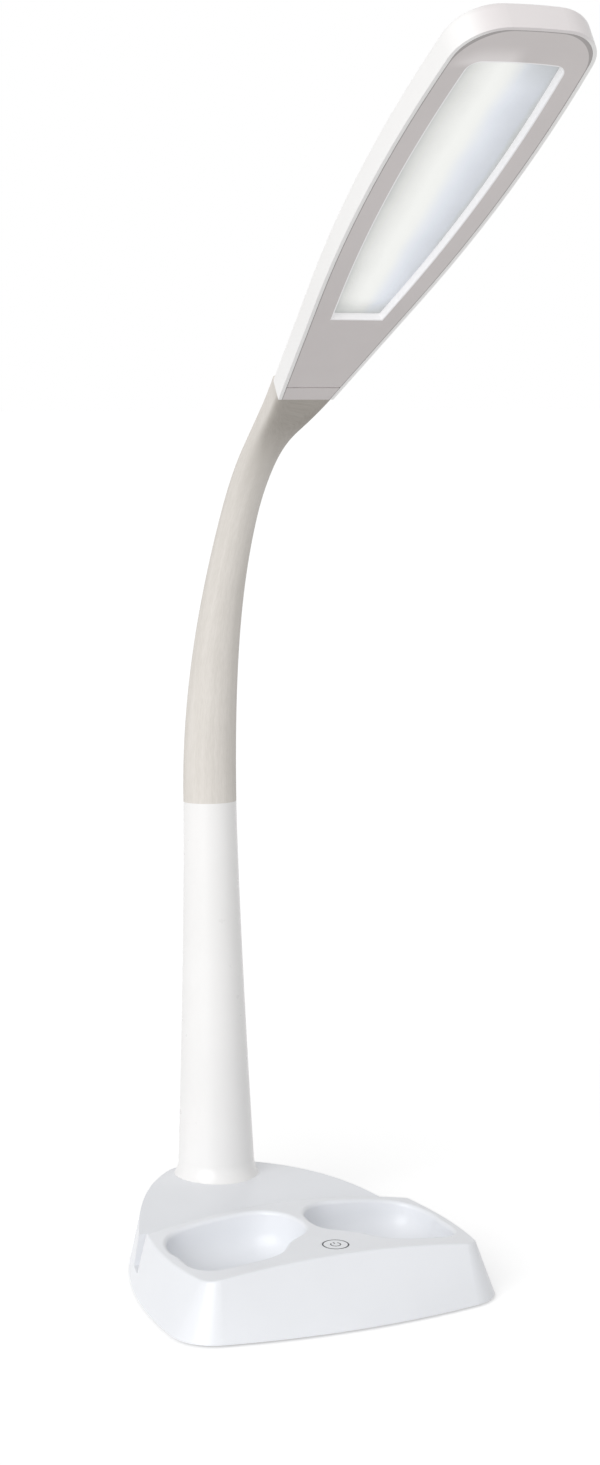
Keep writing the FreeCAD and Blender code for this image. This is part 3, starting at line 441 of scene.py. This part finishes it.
def soft_sleeve(name, colours):
    """Matte sleeve of the neck: fine long fibres that follow its length and slant over its flare,
    whose underside carries painted shade, darker towards the head. The pattern reads two things
    that
    each piece carries with it: its place on the straightened neck, and how much painted underside
    shade it has."""
    material, finish = new_finish(name)
    lay = finish.node("ShaderNodeAttribute", {"attribute_name": "lay"}, out=1)
    fold = finish.node("ShaderNodeAttribute", {"attribute_name": "fold"}, out=2)
    fibres = finish.grain(finish.scaled(lay, (1.0, 1.0, 0.10)), SLEEVE_FIBRES, 2.0, 0.6)
    strands = finish.grain(finish.scaled(lay, (1.0, 1.0, 0.04)), SLEEVE_STRANDS, 2.0)
    cloud = finish.grain(lay, SLEEVE_CLOUDS, 3.0)
    tone = finish.clamped(0.30 * finish.stretched(strands, 0.3, 0.7)
                          + 0.35 * finish.stretched(fibres, 0.3, 0.7) + 0.45 * cloud)
    # Painted shade on the underside of the neck's end, broken up a little by the fibres and
    # clouds.
    underside_shade_mix = finish.clamped(fold * (0.80 + 0.5 * (fibres - 0.5) + 0.4 * (cloud - 0.5)))
    plain = finish.mixed(tone, tuple(colours.sleeve_streak), tuple(colours.sleeve))
    finish.surface({
        "Base Color": finish.mixed(underside_shade_mix, plain, tuple(colours.sleeve_underside_shade)),
        "Roughness": 0.64 + 0.16 * fibres,
        "Normal": finish.bumped(0.7 * fibres + 0.3 * strands, SLEEVE_RELIEF, 0.5),
        "Specular IOR Level": 0.2,
        "Sheen Weight": 0.12,
        "Sheen Roughness": 0.5,
    })
    return material


def neck_end(sizes):
    """Height and depth of the neck's upper end, and its forward heading from vertical."""
    middle, heading = neck_line(np.array([neck_length(sizes)]), sizes)
    return middle[0], float(heading[0])


class HeadPlan:
    """Place on the head's face, and distances inside its outline, as values of a finish."""

    def __init__(self, finish, sizes):
        self.finish = finish
        self.sizes = sizes
        split = finish.node("ShaderNodeSeparateXYZ", None, {"Vector": finish.place()})
        parts = split.socket.node.outputs
        self.across, depth, height = [Wire(finish, socket) for socket in parts]
        end, heading = neck_end(sizes)
        out, back = math.sin(heading), math.cos(heading)
        self.along = (depth - end[1]) * out + (height - end[2]) * back - sizes.head_root
        self.level = (depth - end[1]) * back - (height - end[2]) * out + sizes.flare_half_height
        self.sides = [self.side(self.across), self.side(-1.0 * self.across)]

    def side(self, across):
        """Distance inside one side: inside a long arc past the place where the straight flank
        touches it, and inside that flank before it."""
        sizes = self.sizes
        radius = sizes.head_side_radius
        middle = radius - sizes.head_half_width
        rise, run = sizes.head_widest + sizes.head_root, middle + sizes.head_root_half_width
        turn = math.atan2(rise, run) - math.acos(radius / math.hypot(rise, run))
        forth, sideways = sizes.head_widest - self.along, across + middle
        arc = radius - (forth * forth + sideways * sideways) ** 0.5
        flank = radius - (sideways * math.cos(turn) + forth * math.sin(turn))
        past = self.along > sizes.head_widest - radius * math.sin(turn)
        return flank + past * (arc - flank)

    def tip(self):
        """Distance inside the bowed tip."""
        middle = self.sizes.head_length - self.sizes.head_tip_radius
        forth = self.along - middle
        return self.sizes.head_tip_radius - (forth * forth + self.across * self.across) ** 0.5

    def plate(self):
        """Distance inside the grey plate's edge."""
        sizes = self.sizes
        side = self.finish.least(*self.sides)
        return self.finish.rounded(side, self.tip(), sizes.head_corner_radius) - sizes.bezel_inset

    def window(self):
        """Distance inside the window's edge, less than nothing outside it."""
        sizes = self.sizes
        side = self.finish.least(*self.sides) - sizes.window_inset
        corner = self.finish.rounded(side, self.tip() - sizes.window_margin, sizes.window_corner)
        return self.finish.least(corner, self.along - sizes.window_start)

    def share(self):
        """Place between the window's sides, from 0 on the left to 1 on the right."""
        right, left = [side - self.sizes.window_inset for side in self.sides]
        return left / (left + right)


def head_plastic(name, colours, sizes):
    """Softly polished white plastic of the head's casing, with painted shade that makes it greyer
    where its tip turns down.
    """
    material, finish = new_finish(name)
    plan = HeadPlan(finish, sizes)
    place = finish.place()
    cloud = finish.grain(place, FLOW_CLOUDS, 3.0)
    haze = finish.grain(place, GLOSS_HAZE, 4.0, 0.6)
    peel = finish.grain(place, ORANGE_PEEL, 1.0)
    white = tuple(colours.casing)
    plain = finish.mixed(finish.stretched(cloud, 0.3, 0.7), darker(white, 0.98), white)
    # Painted shade: the casing turns greyer near the tip, where it turns down away from the light.
    turned = finish.near(plan.tip(), TIP_REACH, TIP_EASE)
    finish.surface({
        "Base Color": finish.mixed(turned, plain, tuple(colours.tip)),
        "Roughness": 0.38 + 0.10 * haze,
        "Normal": finish.bumped(peel, PEEL_RELIEF, 0.5),
        "Specular IOR Level": 0.45,
    })
    return material


def bezel_plastic(name, colours, sizes):
    """Satin plastic with a fine spark-eroded grain. The sides of the window's opening are
    polished; they and a thin line round its edge carry painted light: a near white colour and a
    glow of their own that stand in for the lights falling on them, and a painted glow that spills
    a little over the plate beyond the window. The plate carries painted shade, a little darker
    towards the neck and darker along its outer edge."""
    material, finish = new_finish(name)
    place = finish.place()
    plan = HeadPlan(finish, sizes)
    rim = plan.window()
    # Painted light: the sides of the window's opening are coloured near white and glow, as if lit
    # by the window.
    lit_walls = (plan.level > WALL_LEVEL) * (rim > -WALL_REACH)
    # Painted highlight: a thin near-white line round the window's edge.
    lip_highlight = finish.stretched(rim + sizes.lip_highlight_width, 0.0, 0.3 * sizes.lip_highlight_width)
    # Painted shade: the plate's outer edge darkens where the casing meets it.
    edge_shade = finish.near(plan.plate(), sizes.edge_shade_width, 0.6 * sizes.edge_shade_width)
    # Painted light: a glow from the window spilling over the plate near the tip.
    beyond = finish.near(plan.tip(), sizes.window_margin + SPILL_START, SPILL_EASE)
    beside = finish.stretched(0.5 - plan.share(), -0.05, 0.15)
    spill = 0.9 * beyond * beside * finish.stretched(rim + SPILL_REACH, 0.0, SPILL_REACH)
    cloud = finish.grain(place, MOULD_CLOUDS, 3.0)
    pits = finish.grain(place, BEZEL_GRAIN, 2.0, 0.65)
    # Painted shade: the plate grows darker towards the neck and lighter towards the tip.
    tipward_light = finish.stretched(plan.along, 0.01, 0.19)
    tone = finish.clamped(0.5 * cloud + 0.2 * pits + 0.3 * tipward_light)
    grey = tuple(colours.bezel)
    plate = finish.mixed(tone, darker(grey, 0.88), darker(grey, 1.09))
    shaded = finish.mixed(0.8 * edge_shade, plate, darker(grey, 0.55))
    finish.surface({
        "Base Color": finish.mixed(finish.clamped(lit_walls + lip_highlight), shaded, tuple(colours.bevel)),
        # Painted glow on a part that is no lamp: the window's sides, the line round it and the
        # spill.
        "Emission Color": finish.mixed(finish.clamped(lit_walls + 0.5 * lip_highlight + spill), (0.0, 0.0, 0.0),
                                       tuple(colours.bevel)),
        "Emission Strength": 0.16,
        "Roughness": 0.44 + 0.14 * pits - 0.2 * lit_walls,
        "Normal": finish.bumped(pits, BEZEL_RELIEF, 0.5),
        "Specular IOR Level": 0.4,
    })
    return material


def frosted_window(name, colours, sizes):
    """Frosted sheet over the lights: a warm lit band left of its middle, cooler to the right,
    and shaded along its edges and towards its end by the neck."""
    material, finish = new_finish(name)
    place = finish.place()
    plan = HeadPlan(finish, sizes)
    soft = finish.grain(finish.scaled(place, (1.5, 1.0, 1.0)), WINDOW_CLOUDS, 2.0)
    patch = finish.grain(place, WINDOW_PATCHES, 2.0)
    frost = finish.grain(place, FROST_GRAIN, 2.0)
    low = finish.near(plan.along, sizes.window_start + LEAN_REACH, LEAN_EASE)
    leaning = plan.share() * (1.0 - 0.14 * low)
    share = finish.clamped(leaning + 0.14 * (soft - 0.5) + 0.06 * (patch - 0.5))
    warm, cool = tuple(colours.window_warm), tuple(colours.window_cool)
    edge = tuple(colours.window_edge)
    band = finish.node("ShaderNodeValToRGB", {"stops": [
        (0.0, darker(edge, 0.88)), (0.12, darker(warm, 0.79)), (0.24, darker(warm, 0.91)),
        (0.38, warm), (0.50, darker(warm, 0.98)), (0.64, darker(cool, 1.15)), (0.80, cool),
        (0.92, darker(cool, 0.90)), (1.0, darker(edge, 0.86))]}, {"Fac": share})
    # Painted shade: the window darkens along its edges, towards the neck and at the right of its
    # tip.
    rim = finish.near(plan.window(), RIM_REACH, RIM_EASE)
    root = finish.near(plan.along, sizes.window_start + ROOT_REACH, ROOT_REACH)
    tip = finish.near(plan.tip(), sizes.window_margin + FAR_REACH, FAR_REACH)
    far = tip * finish.stretched(share, 0.40, 0.75)
    dim = finish.clamped(0.35 * rim + 0.60 * root + 0.45 * far)
    glow = finish.mixed(dim, band, darker(edge, 0.72))
    finish.surface({
        "Base Color": glow,
        "Roughness": 0.42 + 0.12 * frost,
        "Normal": finish.bumped(frost, FROST_RELIEF, 0.5),
        "Emission Color": glow,
        "Emission Strength": 0.26,
        "Specular IOR Level": 0.3,
    })
    return material


# ------------------------------------------------------------------ surfaces


def quads(rings, sides, wrap):
    """Corner numbers of the four-sided faces of a grid of rings, closed round each ring and,
    where wrapped, from the last ring back to the first."""
    ring = np.arange(rings if wrap else rings - 1)[:, None]
    side = np.arange(sides)[None, :]
    above = (ring + 1) % rings
    beside = (side + 1) % sides
    corners = (ring * sides + side, ring * sides + beside,
               above * sides + beside, above * sides + side)
    return np.stack(corners, axis=-1).reshape(-1, 4)


def new_mesh(name, points, faces, carried=None, crease=40.0):
    """A piece from its points and faces, smooth but for edges sharper than the crease angle. Its
    points carry the named values or vectors that its finish reads."""
    mesh = bpy.data.meshes.new(name)
    mesh.from_pydata(points.reshape(-1, 3), [], [list(face) for face in faces])
    mesh.polygons.foreach_set("use_smooth", np.ones(len(mesh.polygons), bool))
    mesh.set_sharp_from_angle(angle=math.radians(crease))
    for key, values in (carried or {}).items():
        kind, field = ("FLOAT_VECTOR", "vector") if values.ndim == 3 else ("FLOAT", "value")
        attribute = mesh.attributes.new(key, kind, "POINT")
        attribute.data.foreach_set(field, values.astype(np.float32).ravel())
    mesh.validate()
    piece = bpy.data.objects.new(name, mesh)
    bpy.context.scene.collection.objects.link(piece)
    return piece


def neck_bends(sizes):
    """Length and turn of the neck's three bends, from the stem upward."""
    return ((sizes.lower_length, sizes.lower_turn), (sizes.middle_length, sizes.middle_turn),
            (sizes.upper_length, sizes.upper_turn))


def neck_length(sizes):
    """Length of the neck from the stem's seam to the head."""
    return sum(length for length, turn in neck_bends(sizes))


def neck_line(lengths, sizes):
    """Points of the neck's centre line and their headings, at lengths from the stem's seam. Each
    bend is an arc: its chord is the run times sin(b/2)/(b/2), laid along the heading less b/2,
    where b is the part of its turn that is used."""
    heading = np.full(lengths.shape, sizes.stem_lean)
    depth = sizes.stem_length * np.sin(heading)
    height = sizes.stem_length * np.cos(heading)
    start = 0.0
    for length, turn in neck_bends(sizes):
        run = np.clip(lengths - start, 0.0, length)
        bend = turn * run / length
        chord = run * np.sinc(0.5 * bend / np.pi)
        depth = depth + chord * np.sin(heading - 0.5 * bend)
        height = height + chord * np.cos(heading - 0.5 * bend)
        heading = heading - bend
        start += length
    return np.stack([np.zeros_like(depth), depth, height], axis=-1), heading


def neck_radius(lengths, sizes):
    """Radius of the round neck: half a cosine wave from the stem's radius down to the waist's."""
    share = np.clip(lengths / sizes.taper_length, 0.0, 1.0)
    half_wave = 0.5 * (1.0 + np.cos(np.pi * share))
    return sizes.waist_radius + (sizes.stem_top_radius - sizes.waist_radius) * half_wave


def neck_section(lengths, sizes):
    """Half width, half height and power of the neck's section: round up to the last joint, and
    past it a superellipse that grows as wide and as flat as the head."""
    radius = neck_radius(lengths, sizes)
    start = sizes.last_joint
    flare = np.clip((lengths - start) / (neck_length(sizes) - start), 0.0, 1.0)
    wide = radius + (sizes.flare_half_width - radius) * flare ** sizes.flare_growth
    tall = radius + (sizes.flare_half_height - radius) * flare
    return wide, tall, 2.0 + sizes.flare_squareness * flare ** sizes.flare_fold


def superellipse(turns, power):
    """Cosine and sine of each turn, each raised to 2/power with its sign kept."""
    both = np.stack([np.cos(turns), np.sin(turns)])
    return np.sign(both) * np.abs(both) ** (2.0 / power)


def neck_rings(lengths, sides, sizes, bore=False):
    """Rings of points square to the neck's centre line: centre plus half width times the
    superellipse's cosine across, plus half height times its sine upward and back. The bore's
    rings are round and lie a wall's thickness inside the round neck."""
    middle, heading = neck_line(lengths, sizes)
    turns = np.linspace(0.0, 2.0 * np.pi, sides, endpoint=False)[None, :]
    wide, tall, power = neck_section(lengths, sizes)
    if bore:
        wide = tall = neck_radius(lengths, sizes) - sizes.sleeve_wall
        power = np.full_like(wide, 2.0)
    across, upward = superellipse(np.broadcast_to(turns, (len(lengths), sides)), power[:, None])
    normal = np.stack([np.zeros_like(heading), np.cos(heading), -np.sin(heading)], axis=-1)
    points = middle[:, None, :] + (tall[:, None] * upward)[..., None] * normal[:, None, :]
    points[..., 0] += wide[:, None] * across
    return points


def straightened(lengths, sides, sizes):
    """Place of the rings' points on a neck that is laid straight: round by their turn, and up by
    their length. Over the flare the turn gains a twist that grows with the square of the way."""
    full_twist = 1.6
    turns = np.linspace(0.0, 2.0 * np.pi, sides, endpoint=False)[None, :]
    start = sizes.taper_length
    way = np.clip((lengths - start) / (neck_length(sizes) - start), 0.0, 1.0)
    turned = turns + full_twist * way[:, None] ** 2
    wide = neck_section(lengths, sizes)[0][:, None]
    up = np.broadcast_to(lengths[:, None], turned.shape)
    return np.stack([wide * np.cos(turned), wide * np.sin(turned), up], axis=-1)


def eased(share):
    """A share with a gentle start and end: three times its square less twice its cube."""
    held = np.clip(share, 0.0, 1.0)
    return held ** 2 * (3.0 - 2.0 * held)


def underside_shading(lengths, sides, sizes):
    """How much painted shade each point of the rings has on the underside: an eased share of the
    way to the head times an eased share of how far the point lies below the section's middle."""
    turns = np.linspace(0.0, 2.0 * np.pi, sides, endpoint=False)[None, :]
    power = neck_section(lengths, sizes)[2][:, None]
    below = -superellipse(np.broadcast_to(turns, (len(lengths), sides)), power)[1]
    lead, haste, edge, blend = 28.0 * MILLIMETRE, 1.25, 0.3, 0.6
    start = sizes.last_joint - lead
    way = (lengths - start) / (neck_length(sizes) - start)
    return eased(haste * way)[:, None] * eased((below - edge) / blend)


def tube(name, low, high, grid, sizes):
    """A closed tube of the neck between two lengths: outer rings going up, bore rings coming
    back down, and a flat face at each end where the two meet."""
    rows, sides = grid
    outer = np.linspace(low, high, rows)
    inner = np.linspace(high, low, max(rows // 4, 3))
    points = np.concatenate([neck_rings(outer, sides, sizes),
                             neck_rings(inner, sides, sizes, bore=True)])
    lay = np.concatenate([straightened(outer, sides, sizes), straightened(inner, sides, sizes)])
    fold = np.concatenate([underside_shading(outer, sides, sizes), np.zeros((len(inner), sides))])
    faces = quads(len(points), sides, True)
    return new_mesh(name, points, faces, {"lay": lay, "fold": fold})


def tray_height(across, depth):
    """Height of the tray's arched top: a circle across the lamp whose crown rises evenly
    towards the back, over corners that stay level."""
    brim, half, front, back = 0.030, 0.080, 0.175, 0.088
    crown = 0.006 + 0.0025 * (depth + front) / (front - back)
    radius = (half ** 2 + crown ** 2) / (2.0 * crown)
    return brim + crown - radius + np.sqrt(radius ** 2 - across ** 2)


def printed_line(name, line, width, closed, lift=0.03 * MILLIMETRE, sink=0.05 * MILLIMETRE):
    """A thin printed line on the button: four corners carried along a plan path, two at a small
    lift above the tray's top and two sunk below it. An open line has round ends."""
    step = np.roll(line, -1, axis=0) - np.roll(line, 1, axis=0)
    if not closed:
        step[0], step[-1] = line[1] - line[0], line[-1] - line[-2]
    step /= np.linalg.norm(step, axis=1)[:, None]
    side = np.stack([-step[:, 1], step[:, 0]], axis=-1)
    half = np.full(len(line), 0.5 * width)
    if not closed:
        far = np.concatenate([[0.0], np.cumsum(np.linalg.norm(np.diff(line, axis=0), axis=1))])
        near_end = np.clip(np.minimum(far, far[-1] - far) / (0.5 * width), 0.0, 1.0)
        half = 0.5 * width * np.sqrt(np.clip(1.0 - (1.0 - near_end) ** 2, 0.04, 1.0))
    left, right = line + side * half[:, None], line - side * half[:, None]
    plan = np.stack([left, left, right, right], axis=1)
    height = tray_height(plan[..., 0], plan[..., 1]) + np.array([-sink, lift, lift, -sink])
    points = np.concatenate([plan, height[..., None]], axis=-1)
    faces = quads(len(line), 4, closed).tolist()
    if not closed:
        last = 4 * (len(line) - 1)
        faces += [[3, 2, 1, 0], [last, last + 1, last + 2, last + 3]]
    return new_mesh(name, points, faces)


def dress(names, material):
    """Gives CAD nodes a material."""
    for name in names:
        slots = NODES[name].data.materials
        slots.clear()
        slots.append(material)


# ------------------------------------------------------------------ operators


class LAMP_OT_housings(bpy.types.Operator):
    """White finishes of the base and its button, the stem, and the head's casing"""

    bl_idname = "lamp.housings"
    bl_label = "White housings"

    def execute(self, context):
        colours = context.scene.lamp_colours
        dress(["base_shell", "power_button"],
              gloss_plastic("cool_gloss_white", tuple(colours.tray), 0.3))
        dress(["stem_shell"], gloss_plastic("gloss_white", tuple(colours.housing)))
        dress(["head_casing"], head_plastic("head_white", colours, context.scene.lamp_sizes))
        return {"FINISHED"}


class LAMP_OT_head(bpy.types.Operator):
    """Grey bezel and frosted window of the head"""

    bl_idname = "lamp.head"
    bl_label = "Head's face"

    def execute(self, context):
        colours = context.scene.lamp_colours
        sizes = context.scene.lamp_sizes
        dress(["head_bezel"], bezel_plastic("satin_grey", colours, sizes))
        dress(["diffuser"], frosted_window("frosted_sheet", colours, sizes))
        return {"FINISHED"}


class LAMP_OT_neck(bpy.types.Operator):
    """Soft neck: one length for each joint, and the flare that meets the head"""

    bl_idname = "lamp.neck"
    bl_label = "Soft neck"

    def execute(self, context):
        sizes = context.scene.lamp_sizes
        finish = soft_sleeve("soft_grey_sleeve", context.scene.lamp_colours)
        pitch = (sizes.last_joint - sizes.first_joint) / (NECK_JOINTS - 1)
        for number in range(NECK_JOINTS):
            joint = sizes.first_joint + pitch * number
            low, high = joint - 0.5 * pitch, joint + 0.5 * pitch
            start = low if number else 0.0
            piece = tube(f"sleeve_length_{number}", start, high, SLEEVE_GRID, sizes)
            piece.data.materials.append(finish)
            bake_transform(piece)
            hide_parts(f"neck_sleeve_{number}")
        low, high = sizes.last_joint + 0.5 * pitch, neck_length(sizes)
        flare = tube("sleeve_flare", low, high, FLARE_GRID, sizes)
        flare.data.materials.append(finish)
        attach(flare, "head")
        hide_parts("neck_flare")
        return {"FINISHED"}


class LAMP_OT_marks(bpy.types.Operator):
    """Dark ring and generic power symbol printed on the button"""

    bl_idname = "lamp.marks"
    bl_label = "Button marks"

    def execute(self, context):
        sizes = context.scene.lamp_sizes
        colour = tuple(context.scene.lamp_colours.marks)
        ink = satin_plastic("dark_ink", colour, INK_GRAIN, 0.4)
        centre = np.array([0.0, -sizes.button_front])
        turns = np.linspace(0.0, 2.0 * np.pi, RING_POINTS, endpoint=False)
        circle = np.stack([np.cos(turns), np.sin(turns)], axis=-1)
        rim = sizes.button_radius - 0.5 * sizes.ring_width
        half_gap, bar_low, bar_high = math.radians(38.0), 0.35, 1.25
        sweep = np.linspace(0.5 * np.pi + half_gap, 2.5 * np.pi - half_gap, ARC_POINTS)
        arc = np.stack([np.cos(sweep), np.sin(sweep)], axis=-1)
        rise = np.linspace(bar_low, bar_high, BAR_POINTS)
        bar = np.stack([np.zeros(BAR_POINTS), rise], axis=-1)
        radius, width = sizes.symbol_radius, sizes.symbol_width
        lines = (("button_ring", centre + rim * circle, sizes.ring_width, True),
                 ("power_arc", centre + radius * arc, width, False),
                 ("power_bar", centre + radius * bar, width, False))
        for name, line, breadth, closed in lines:
            mark = printed_line(name, line, breadth, closed)
            mark.data.materials.append(ink)
            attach(mark, "button")
        return {"FINISHED"}


class LAMP_OT_underside(bpy.types.Operator):
    """Finishes of the bottom cover, its screws, the pad and the ballast"""

    bl_idname = "lamp.underside"
    bl_label = "Underside"

    def execute(self, context):
        colours = context.scene.lamp_colours
        dress(["bottom_cover"], satin_plastic("textured_cover", tuple(colours.cover), COVER_GRAIN))
        dress(["anti_slip_pad"], sheet_rubber("pad_rubber", tuple(colours.rubber)))
        dress(["ballast_plate"],
              metal("ballast_steel", tint(150, 151, 154), 0.42, (0.06, 1.0, 1.0)))
        dress(["cover_screws", "board_screws", "led_screws"],
              metal("screw_steel", tint(186, 187, 190), 0.26))
        return {"FINISHED"}


class LAMP_OT_works(bpy.types.Operator):
    """Finishes of the switch, boards, ports, lights, washers, nuts and steel core"""

    bl_idname = "lamp.works"
    bl_label = "Works inside"

    def execute(self, context):
        colours = context.scene.lamp_colours
        dress(["control_board"], circuit_board("green_board", tint(34, 96, 62), tint(60, 130, 84)))
        dress(["led_board"],
              circuit_board("white_board", tint(236, 236, 232), tint(216, 214, 206)))
        dress(["heat_spreader"],
              metal("sheet_aluminium", tint(214, 216, 218), 0.30, (1.0, 0.06, 1.0)))
        dress(["led_chips"], phosphor("phosphor_package"))
        dress(["reflector"],
              satin_plastic("matte_white", tint(246, 246, 243), REFLECTOR_GRAIN, 0.55))
        dress(["tact_switch", "dc_inlet", "usb_tongue"],
              satin_plastic("black_moulding", tint(38, 38, 40), MOULDING_GRAIN, 0.4))
        dress(["switch_plunger"],
              satin_plastic("switch_plunger_white", tint(228, 226, 220), BEZEL_GRAIN, 0.4))
        dress(["dc_pin"], metal("contact_brass", tint(214, 186, 118), 0.22))
        dress(["usb_shell"], metal("port_shell_steel", tint(206, 207, 210), 0.2))
        dress(["stem_washer", "stem_nut", "gooseneck_anchor", "head_ferrule", "ferrule_nut"]
              + [f"gooseneck_core_{number}" for number in range(NECK_JOINTS)],
              metal("plated_steel", tint(190, 191, 194), 0.3))
        return {"FINISHED"}


def camera_only(finish):
    """1 for what the camera sees directly, in gloss or through glass, else 0."""
    path = finish.node("ShaderNodeLightPath").socket.node.outputs
    names = ("Is Camera Ray", "Is Glossy Ray", "Is Transmission Ray")
    seen = [Wire(finish, path[name]) for name in names]
    return finish.clamped(seen[0] + seen[1] + seen[2])


class LAMP_OT_stage(bpy.types.Operator):
    """Pale floor, even light, one broad soft lamp and the camera"""

    bl_idname = "lamp.stage"
    bl_label = "Studio"

    sky = 0.534
    floor_reach = 60.0
    floor_lift = 0.38
    key_strength = 1.62
    key_spread, key_height, key_side = 50.0, 24.0, -52.0
    frame_height, focal_length, sensor_width = 1465.0, 2600.0, 36.0
    camera_place = (-0.5349, -1.3128, 0.4640)
    camera_dip, camera_side = 7.44, -24.05

    def floor(self, colour):
        """A flat floor far larger than the lamp. The camera sees it lifted to white where no
        shadow falls."""
        reach = self.floor_reach
        corners = np.array([[-reach, -reach, 0.0], [reach, -reach, 0.0], [reach, reach, 0.0],
                            [-reach, reach, 0.0]])
        floor = new_mesh("floor", corners, np.array([[0, 1, 2, 3]]))
        material, finish = new_finish("pale_floor")
        speckle = finish.grain(finish.place(), FLOOR_SPECKS, 2.0)
        plain = finish.node("ShaderNodeBsdfDiffuse", None, {
            "Color": finish.mixed(speckle, darker(colour, 0.985), colour)})
        lift = finish.node("ShaderNodeEmission", None,
                           {"Color": (1.0, 1.0, 1.0, 1.0),
                            "Strength": self.floor_lift * camera_only(finish)})
        both = finish.node("ShaderNodeAddShader", None, {0: plain, 1: lift})
        finish.node("ShaderNodeOutputMaterial", None, {"Surface": both})
        floor.data.materials.append(material)

    def world(self, scene):
        """Even sky that the camera and gloss see as white."""
        scene.world = bpy.data.worlds.new("studio")
        scene.world.use_nodes = True
        finish = Finish(scene.world.node_tree)
        sky = finish.node("ShaderNodeBackground", None,
                          {"Color": (1.0, 1.0, 1.0, 1.0),
                           "Strength": self.sky + (1.0 - self.sky) * camera_only(finish)})
        finish.node("ShaderNodeOutputWorld", None, {"Surface": sky})

    def lamps(self, scene):
        """One broad key from the front left."""
        key = bpy.data.lights.new("key", "SUN")
        key.energy = self.key_strength
        key.angle = math.radians(self.key_spread)
        holder = bpy.data.objects.new("key", key)
        holder.rotation_euler = (math.radians(90.0 - self.key_height), 0.0,
                                 math.radians(self.key_side))
        scene.collection.objects.link(holder)

    def camera(self, scene):
        """Camera a little above the lamp's middle, off to the front left."""
        lens = bpy.data.cameras.new("camera")
        lens.sensor_fit = "AUTO"
        lens.sensor_width = self.sensor_width
        lens.lens = self.sensor_width * self.focal_length / self.frame_height
        lens.clip_start, lens.clip_end = 0.01, 200.0
        holder = bpy.data.objects.new("camera", lens)
        holder.location = self.camera_place
        holder.rotation_euler = (math.radians(90.0 - self.camera_dip), 0.0,
                                 math.radians(self.camera_side))
        scene.collection.objects.link(holder)
        scene.camera = holder

    def execute(self, context):
        scene = context.scene
        self.floor(tuple(scene.lamp_colours.floor))
        self.world(scene)
        self.lamps(scene)
        self.camera(scene)
        scene.view_settings.view_transform = "Standard"
        return {"FINISHED"}


OPERATORS = (LAMP_OT_housings, LAMP_OT_head, LAMP_OT_neck, LAMP_OT_marks, LAMP_OT_underside,
             LAMP_OT_works, LAMP_OT_stage)


class LAMP_PT_pieces(bpy.types.Panel):
    """Sizes, colours and the steps that make the lamp's pieces"""

    bl_idname = "LAMP_PT_pieces"
    bl_label = "Desk Lamp"
    bl_space_type = "VIEW_3D"
    bl_region_type = "UI"
    bl_category = "Desk Lamp"

    def draw(self, context):
        for group in (context.scene.lamp_sizes, context.scene.lamp_colours):
            column = self.layout.column()
            for name in group.__annotations__:
                column.prop(group, name)
        for operator in OPERATORS:
            self.layout.operator(operator.bl_idname)


CLASSES = (LampSizes, LampColours, *OPERATORS, LAMP_PT_pieces)


def register():
    """Makes the classes and the scene's sizes and colours known to Blender."""
    for kind in CLASSES:
        bpy.utils.register_class(kind)
    bpy.types.Scene.lamp_sizes = bpy.props.PointerProperty(type=LampSizes)
    bpy.types.Scene.lamp_colours = bpy.props.PointerProperty(type=LampColours)


def unregister():
    """Takes back what register made known."""
    del bpy.types.Scene.lamp_colours
    del bpy.types.Scene.lamp_sizes
    for kind in reversed(CLASSES):
        bpy.utils.unregister_class(kind)


def main():
    """Makes every piece in order."""
    register()
    bpy.ops.lamp.housings()
    bpy.ops.lamp.head()
    bpy.ops.lamp.neck()
    bpy.ops.lamp.marks()
    bpy.ops.lamp.underside()
    bpy.ops.lamp.works()
    bpy.ops.lamp.stage()


if __name__ == "__main__":
    main()
